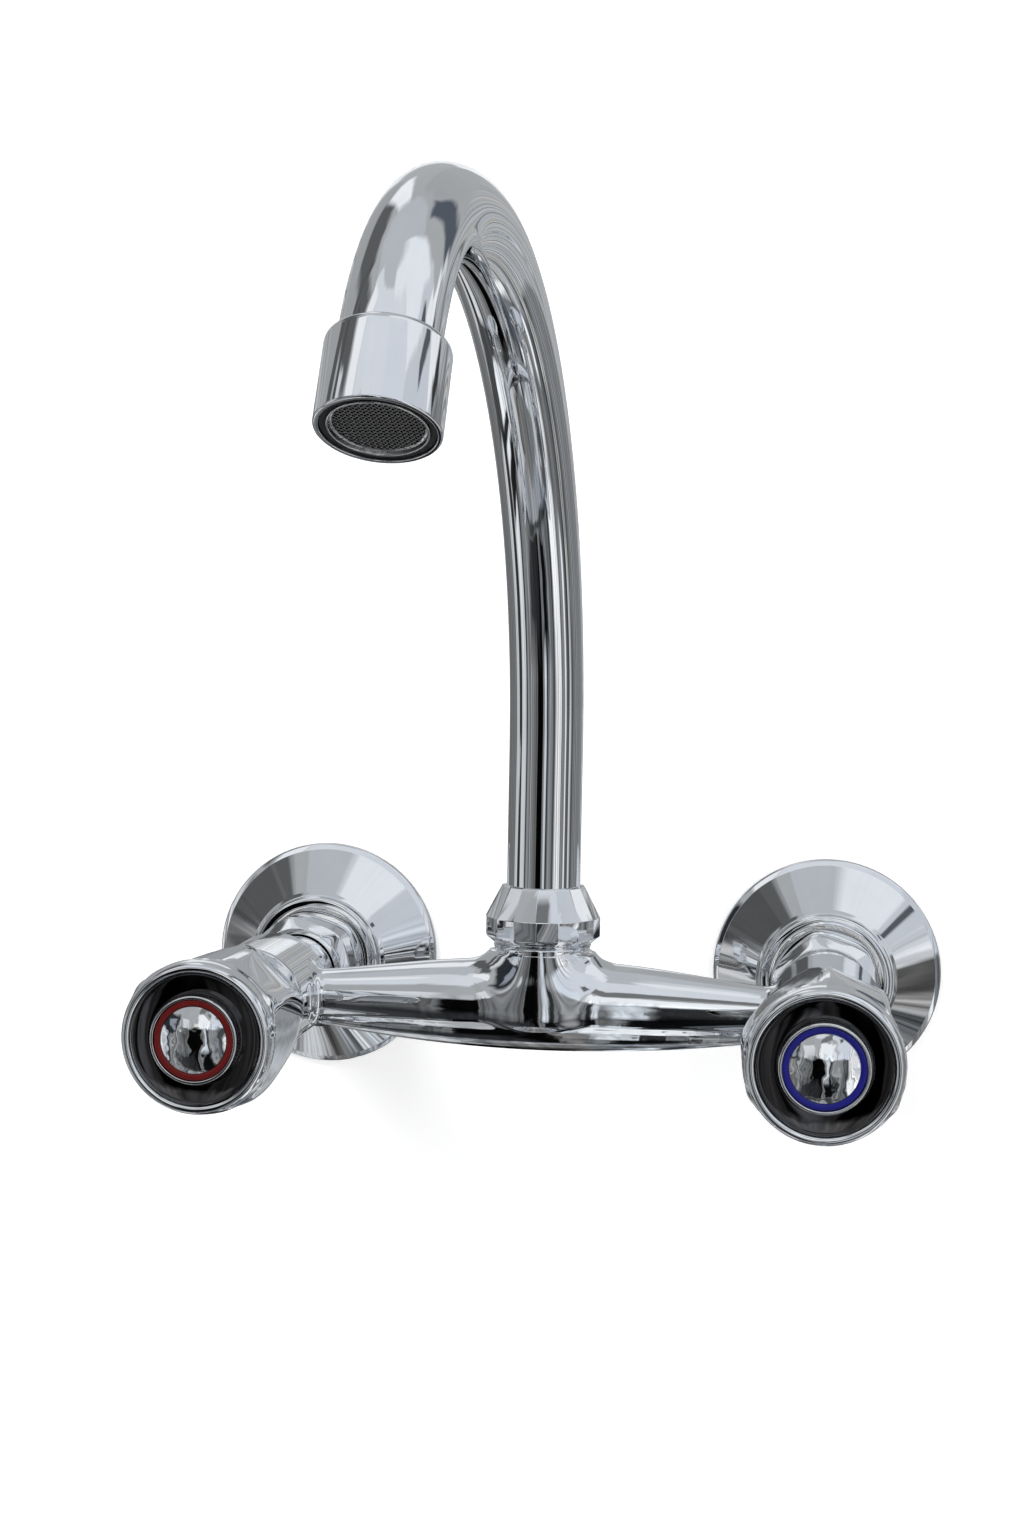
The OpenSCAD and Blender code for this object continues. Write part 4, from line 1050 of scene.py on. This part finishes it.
def shade(level, blue=0.0):
    """Linear colour of a grey written as a screen level from 0 to 255, cooler where blue is more."""
    value = (level / 255) ** 2.2 / 0.86
    return (value * (1 - blue), value * (1 - blue * 0.3), value * (1 + blue), 1)


# Strips round the horizon: from and to in degrees, clockwise from the front, then their grey.
HORIZON = (
    (-168, -151, 150), (-149, -124, 112), (-122, -99, 118), (-97, -86, 200), (-84, -76, 45), (-74, -58, 212),
    (-57, -53, 55), (-51, -35, 138), (-34, -29, 112), (-28, -21, 100), (-20, -3, 13), (1, 8, 215),
    (8.6, 12.6, 45), (13, 28, 138), (29, 34, 75), (36, 55, 230), (57, 65, 128), (66, 71, 225), (73, 82, 100),
    (84, 90, 205), (92, 99, 88),
)

# Cards of the studio: their left, right, lower and upper edge and softness in degrees,
# then their grey and how blue they are.
CARDS = (
    # ceiling
    (-200, 200, 60, 100, 5, 192, 0.03),
    (-200, 200, 7, 62, 4, 176, 0.0),
    (18, 116, 40, 82, 6, 240, 0.02),
    (-72, 22, 60, 71, 3, 225, 0.02),
    # left and behind
    (-156, -106, 13, 40, 4, 165, 0.0),
    (-142, -100, 37, 57, 4, 95, 0.0),
    (-100, -72, 34, 54, 4, 95, 0.0),
    (-68, -50, 36, 62, 3, 248, 0.0),
    (-162, -143, 40, 62, 4, 250, 0.0),
    (-185, -158, 12, 27, 4, 240, 0.0),
    (-106, -99, 2, 56, 1.5, 90, 0.0),
    (-94, -88, 2, 45, 1.5, 85, 0.0),
    (-88, -80, -6, 36, 1.5, 215, 0.0),
    (-76, -42, 4, 27, 4, 52, 0.12),
    (-55, -46, 8, 21, 2, 150, 0.1),
    (-50, 62, 44, 66, 4, 226, 0.03),
    # front
    (-33, -22, 5, 24, 2, 228, 0.0),
    (-33, -22, 25, 46, 2, 172, 0.0),
    (-9, 17, 9, 29, 2, 252, 0.0),
    (-9, 18, 30, 43, 2, 120, 0.0),
    (19, 62, 8, 60, 3, 222, 0.04),
    (24, 33, 28, 36, 2, 105, 0.0),
    (62, 118, 4, 42, 3, 208, 0.04),
    # right and behind
    (90, 106, 30, 37, 2, 95, 0.1),
    (108, 119, 19, 30, 2, 245, 0.0),
    (119, 141, 20, 26, 2, 250, 0.0),
    (116, 129, 13, 19, 2, 60, 0.0),
    (134, 149, 22, 56, 4, 95, 0.15),
    (151, 185, -29, 58, 3, 170, 0.0),
    (101, 152, -20, 13, 3, 128, 0.0),
    (84, 126, -52, -31, 8, 105, 0.0),
    (100, 161, -33, -29, 4, 165, 0.0),
    (150, 185, -58, -34, 4, 110, 0.08),
    # floor
    (-150, -122, -46, -22, 4, 75, 0.0),
    (-137, -107, -58, -42, 3, 235, 0.0),
    (-119, -112, -54, -34, 2, 45, 0.0),
    (-104, -91, -56, -37, 2, 35, 0.0),
    (-200, -150, -76, -58, 4, 60, 0.0),
    (-150, -46, -74, -62, 4, 190, 0.0),
    (-44, -14, -62, -27, 10, 52, 0.05),
    (0, 20, -62, -27, 8, 24, 0.05),
    (-60, 60, -80, -58, 3, 150, 0.04),
    (-80, 80, -62, -58, 2, 70, 0.0),
    (52, 142, -77, -61, 4, 200, 0.0),
    (-200, 200, -100, -76, 4, 118, 0.0),
)


class MIXER_OT_stage(bpy.types.Operator):
    """Sets the wall, the floor, the lamps, the mirrored studio and the camera"""

    bl_idname = "mixer.stage"
    bl_label = "Stage"

    def execute(self, context):
        self.build_backdrop(context.scene.mixer_colours)
        self.build_studio(context.scene)
        self.hang_lamps()
        self.set_camera(context.scene)
        return {"FINISHED"}

    def build_backdrop(self, colours):
        """A wall and a floor that the camera sees, with the shadows on them, and mirrors don't."""
        backdrop = []
        for name, place_at, turned in (
            ("wall", (0, 0.0006, 0.6), (math.pi / 2, 0, 0)),
            ("floor", (0, -3.0, -1.1), (0, 0, 0)),
        ):
            clear_selection()
            bpy.ops.mesh.primitive_plane_add(size=6, location=place_at, rotation=turned)
            piece = bpy.context.object
            piece.name = name
            bpy.ops.object.transform_apply(location=True, rotation=True, scale=True)
            backdrop.append(piece)
        wall, floor = backdrop

        paint = Finish("painted wall")
        paint.nodes.remove(paint.shader)
        ray = paint.add("ShaderNodeLightPath")
        matt = paint.add("ShaderNodeBsdfDiffuse", {"Color": (*colours.wall, 1)})
        seen = ray.outputs["Is Camera Ray"]
        glow = paint.add("ShaderNodeEmission", {"Color": BACKDROP_GLOW, "Strength": seen})
        both = paint.add("ShaderNodeAddShader", {0: matt.outputs[0], 1: glow.outputs[0]})
        behind = paint.add("ShaderNodeNewGeometry").outputs["Backfacing"]
        self.let_through(paint, paint.maths("MAXIMUM", behind, paint.mirrored_rays(ray)), both)
        wall.data.materials.append(paint.material)

        paint = Finish("pale floor")
        ray = paint.add("ShaderNodeLightPath")
        paint.fill(paint.shader, {
            "Base Color": paint.tone(paint.noise(6.0), (0.8, 0.8, 0.8), (0.86, 0.86, 0.86)),
            "Roughness": 0.7,
            "Emission Color": BACKDROP_GLOW,
            "Emission Strength": ray.outputs["Is Camera Ray"],
        })
        self.let_through(paint, paint.mirrored_rays(ray), paint.shader)
        floor.data.materials.append(paint.material)

    def let_through(self, paint, share, surface):
        """Makes a surface clear where share is one."""
        clear = paint.add("ShaderNodeBsdfTransparent")
        mix = paint.add("ShaderNodeMixShader", {0: share, 1: surface.outputs[0], 2: clear.outputs[0]})
        paint.fill(paint.nodes["Material Output"], {"Surface": mix.outputs[0]})

    def build_studio(self, scene):
        world = bpy.data.worlds.new("studio")
        scene.world = world
        world.use_nodes = True
        sky = Wiring(world.node_tree)
        sky.nodes.clear()
        azimuth, height, swept = self.directions(sky)
        studio = self.hang_cards(sky, azimuth, height, swept)
        studio = self.streak(sky, studio, height, swept)

        ray = sky.add("ShaderNodeLightPath")
        strength = sky.add(
            "ShaderNodeMix", {0: ray.outputs["Is Camera Ray"], 2: AMBIENT, 3: 1.0}, data_type="FLOAT"
        )
        plain = sky.add("ShaderNodeBackground", {"Color": (1, 1, 1, 1), "Strength": strength.outputs[0]})
        mirrored = sky.add("ShaderNodeBackground", {"Color": studio})
        mix = sky.add(
            "ShaderNodeMixShader", {0: sky.mirrored_rays(ray), 1: plain.outputs[0], 2: mirrored.outputs[0]}
        )
        sky.add("ShaderNodeOutputWorld", {"Surface": mix.outputs[0]})

    def directions(self, sky):
        """Azimuth and height of a direction in degrees, and its place across the strips."""
        degrees = 180 / math.pi
        where = sky.add("ShaderNodeTexCoord").outputs["Generated"]
        split = sky.add("ShaderNodeSeparateXYZ", {0: where})
        stir = sky.add("ShaderNodeTexNoise", {"Vector": where, "Scale": WANDER, "Detail": 3.0})
        apart = sky.add("ShaderNodeSeparateColor", {0: stir.outputs["Color"]})
        nudge = sky.maths("MULTIPLY", sky.maths("SUBTRACT", apart.outputs[0], 0.5), WANDER_ASIDE)
        lift = sky.maths("MULTIPLY", sky.maths("SUBTRACT", apart.outputs[1], 0.5), WANDER_UP)
        front = sky.maths("MULTIPLY", split.outputs["Y"], -1.0)
        round_z = sky.maths("ARCTAN2", split.outputs["X"], front)
        azimuth = sky.maths("ADD", sky.maths("MULTIPLY", round_z, degrees), nudge)
        rise = sky.maths("ARCSINE", split.outputs["Z"])
        height = sky.maths("ADD", sky.maths("MULTIPLY", rise, degrees), lift)

        # The strips lie along lines that the bent tube mirrors lengthwise, as tubes do in a long tent.
        facing = sky.add("ShaderNodeVectorMath", {0: where, 1: VIEWER_WAY}, operation="ADD")
        unit = sky.add("ShaderNodeVectorMath", {0: facing.outputs[0]}, operation="NORMALIZE")
        aside = sky.add("ShaderNodeVectorMath", {0: unit.outputs[0], 1: ARCH_AXIS}, operation="DOT_PRODUCT")
        section = sky.maths("MULTIPLY", sky.maths("ARCSINE", aside.outputs["Value"]), 2 * degrees)
        counted = sky.maths("SUBTRACT", section, STRIP_ZERO)
        swept = sky.maths("ADD", counted, sky.maths("MULTIPLY", nudge, STRIP_WANDER))
        return azimuth, height, swept

    def card_group(self):
        """One card: its colour laid over what lies under it, with soft edges."""
        tree = bpy.data.node_groups.new("studio card", "ShaderNodeTree")
        for name, kind in (
            ("Azimuth", "Float"), ("Height", "Float"), ("Under", "Color"), ("Left", "Float"),
            ("Right", "Float"), ("Low", "Float"), ("High", "Float"), ("Soft", "Float"), ("Colour", "Color"),
        ):
            tree.interface.new_socket(name, in_out="INPUT", socket_type="NodeSocket" + kind)
        tree.interface.new_socket("Colour", in_out="OUTPUT", socket_type="NodeSocketColor")
        card = Wiring(tree)
        put = card.add("NodeGroupInput").outputs

        def within(value, low, high):
            past_low, below_high = card.maths("SUBTRACT", value, low), card.maths("SUBTRACT", high, value)
            return card.maths("MINIMUM", past_low, below_high)

        across = within(put["Azimuth"], put["Left"], put["Right"])
        upright = within(put["Height"], put["Low"], put["High"])
        depth = card.maths("DIVIDE", card.maths("MINIMUM", across, upright), put["Soft"])
        share = card.maths("ADD", depth, 0.5, clamp=True)
        over = card.add("ShaderNodeMix", {0: share, 6: put["Under"], 7: put["Colour"]}, data_type="RGBA")
        card.add("NodeGroupOutput", {0: over.outputs[2]})
        return tree

    def hang_cards(self, sky, azimuth, height, swept):
        """Lays the strips and then the cards over the studio's plain grey."""
        studio = sky.add("ShaderNodeRGB").outputs[0]
        studio.default_value = shade(BASE_LEVEL)
        card = self.card_group()
        rows = [
            (left, right, STRIP_LOW, STRIP_HIGH, STRIP_SOFT, level, 0.0, swept)
            for left, right, level in HORIZON
        ]
        rows += [(*row, azimuth) for row in CARDS]
        for left, right, low, high, soft, level, blue, along in rows:
            studio = sky.add("ShaderNodeGroup", {
                "Azimuth": along, "Height": height, "Under": studio, "Left": left, "Right": right,
                "Low": low, "High": high, "Soft": soft, "Colour": shade(level, blue),
            }, node_tree=card).outputs[0]
        return studio

    def streak(self, sky, studio, height, swept):
        """Fine streaks and tints over the strips, so that no card mirrors as one flat tone."""
        fade = sky.spread(height, 1.0, FAINT, FADE_LOW, FADE_HIGH)
        lattice = sky.add("ShaderNodeCombineXYZ", {
            0: sky.maths("MULTIPLY", swept, STREAKS_ACROSS), 1: sky.maths("MULTIPLY", height, STREAKS_ALONG),
        })
        streaks = sky.add("ShaderNodeTexNoise", {
            "Vector": lattice.outputs[0], "Scale": 1.0, "Detail": 2.5, "Roughness": 0.6,
        }, noise_dimensions="2D")
        swing = sky.maths("MULTIPLY", sky.maths("SUBTRACT", streaks.outputs[0], 0.5), STREAK_SWING)
        strength = sky.maths("ADD", sky.maths("MULTIPLY", swing, fade), STREAK_MIDDLE)
        strength = sky.maths("MAXIMUM", strength, STREAK_LEAST)
        streaked = sky.add("ShaderNodeVectorMath", {0: studio, "Scale": strength}, operation="SCALE")
        cool = sky.add("ShaderNodeTexNoise", {"W": swept, "Scale": TINT_SCALE}, noise_dimensions="1D")
        drift = sky.maths("MULTIPLY", sky.maths("SUBTRACT", cool.outputs[0], 0.5), fade)
        tint = sky.tone(sky.maths("ADD", drift, 0.5), WARM_TINT, COOL_TINT, 0.40, 0.60)
        tinted = sky.add("ShaderNodeVectorMath", {0: streaked.outputs[0], 1: tint}, operation="MULTIPLY")
        return tinted.outputs[0]

    def hang_lamps(self):
        aim = Vector((0, -0.05, 0.05))
        for name, place_at, size, power in (
            ("key lamp", (-0.75, -1.3, 1.25), 0.9, 17.0),
            ("fill lamp", (0.9, -1.5, 0.5), 1.2, 7.0),
        ):
            clear_selection()
            bpy.ops.object.light_add(type="AREA", location=place_at)
            lamp = bpy.context.object
            lamp.name = name
            lamp.data.shape = "DISK"
            lamp.data.size = size
            lamp.data.energy = power
            lamp.rotation_euler = (Vector(place_at) - aim).to_track_quat("Z", "Y").to_euler()
            lamp.visible_glossy = False

    def set_camera(self, scene):
        clear_selection()
        bpy.ops.object.camera_add()
        camera = bpy.context.object
        eye = Vector((73.576, -662.796, 108.417)) * MM
        yaw, pitch, roll = -0.140, -0.067, 0.018
        focal_length, frame_height, sensor = 2239.74, 1536, 36
        ahead = Vector((math.sin(yaw) * math.cos(pitch), math.cos(yaw) * math.cos(pitch), math.sin(pitch)))
        level_right = Vector((math.cos(yaw), -math.sin(yaw), 0))
        level_up = level_right.cross(ahead)
        right = math.cos(roll) * level_right + math.sin(roll) * level_up
        up = -math.sin(roll) * level_right + math.cos(roll) * level_up
        turned = Matrix((right, up, -ahead)).transposed().to_4x4()
        camera.matrix_world = Matrix.Translation(eye) @ turned
        camera.data.sensor_width = sensor
        camera.data.lens = focal_length / frame_height * sensor
        camera.data.clip_start = 0.01
        scene.camera = camera
        scene.view_settings.view_transform = "Standard"


class MIXER_PT_panel(bpy.types.Panel):
    """Lists the mixer's pieces in the sidebar"""

    bl_label = "Wall Mixer"
    bl_space_type = "VIEW_3D"
    bl_region_type = "UI"
    bl_category = "Mixer"

    def draw(self, context):
        for group in (context.scene.mixer_sizes, context.scene.mixer_colours):
            box = self.layout.box()
            for name in group.__annotations__:
                box.prop(group, name)
        for operator in OPERATORS:
            self.layout.operator(operator.bl_idname)


OPERATORS = (
    MIXER_OT_inner_parts, MIXER_OT_casting, MIXER_OT_wall_covers, MIXER_OT_union_nuts, MIXER_OT_knobs,
    MIXER_OT_index_buttons, MIXER_OT_spout_nut, MIXER_OT_gooseneck, MIXER_OT_outlet, MIXER_OT_screen,
    MIXER_OT_stage,
)
CLASSES = (MixerSizes, MixerColours, *OPERATORS, MIXER_PT_panel)


def register():
    for item in CLASSES:
        bpy.utils.register_class(item)
    bpy.types.Scene.mixer_sizes = PointerProperty(type=MixerSizes)
    bpy.types.Scene.mixer_colours = PointerProperty(type=MixerColours)


def unregister():
    del bpy.types.Scene.mixer_colours
    del bpy.types.Scene.mixer_sizes
    for item in reversed(CLASSES):
        bpy.utils.unregister_class(item)


def main():
    register()
    bpy.ops.mixer.inner_parts()
    bpy.ops.mixer.casting()
    bpy.ops.mixer.wall_covers()
    bpy.ops.mixer.union_nuts()
    bpy.ops.mixer.knobs()
    bpy.ops.mixer.index_buttons()
    bpy.ops.mixer.spout_nut()
    bpy.ops.mixer.gooseneck()
    bpy.ops.mixer.outlet()
    bpy.ops.mixer.screen()
    bpy.ops.mixer.stage()


if __name__ == "__main__":
    main()
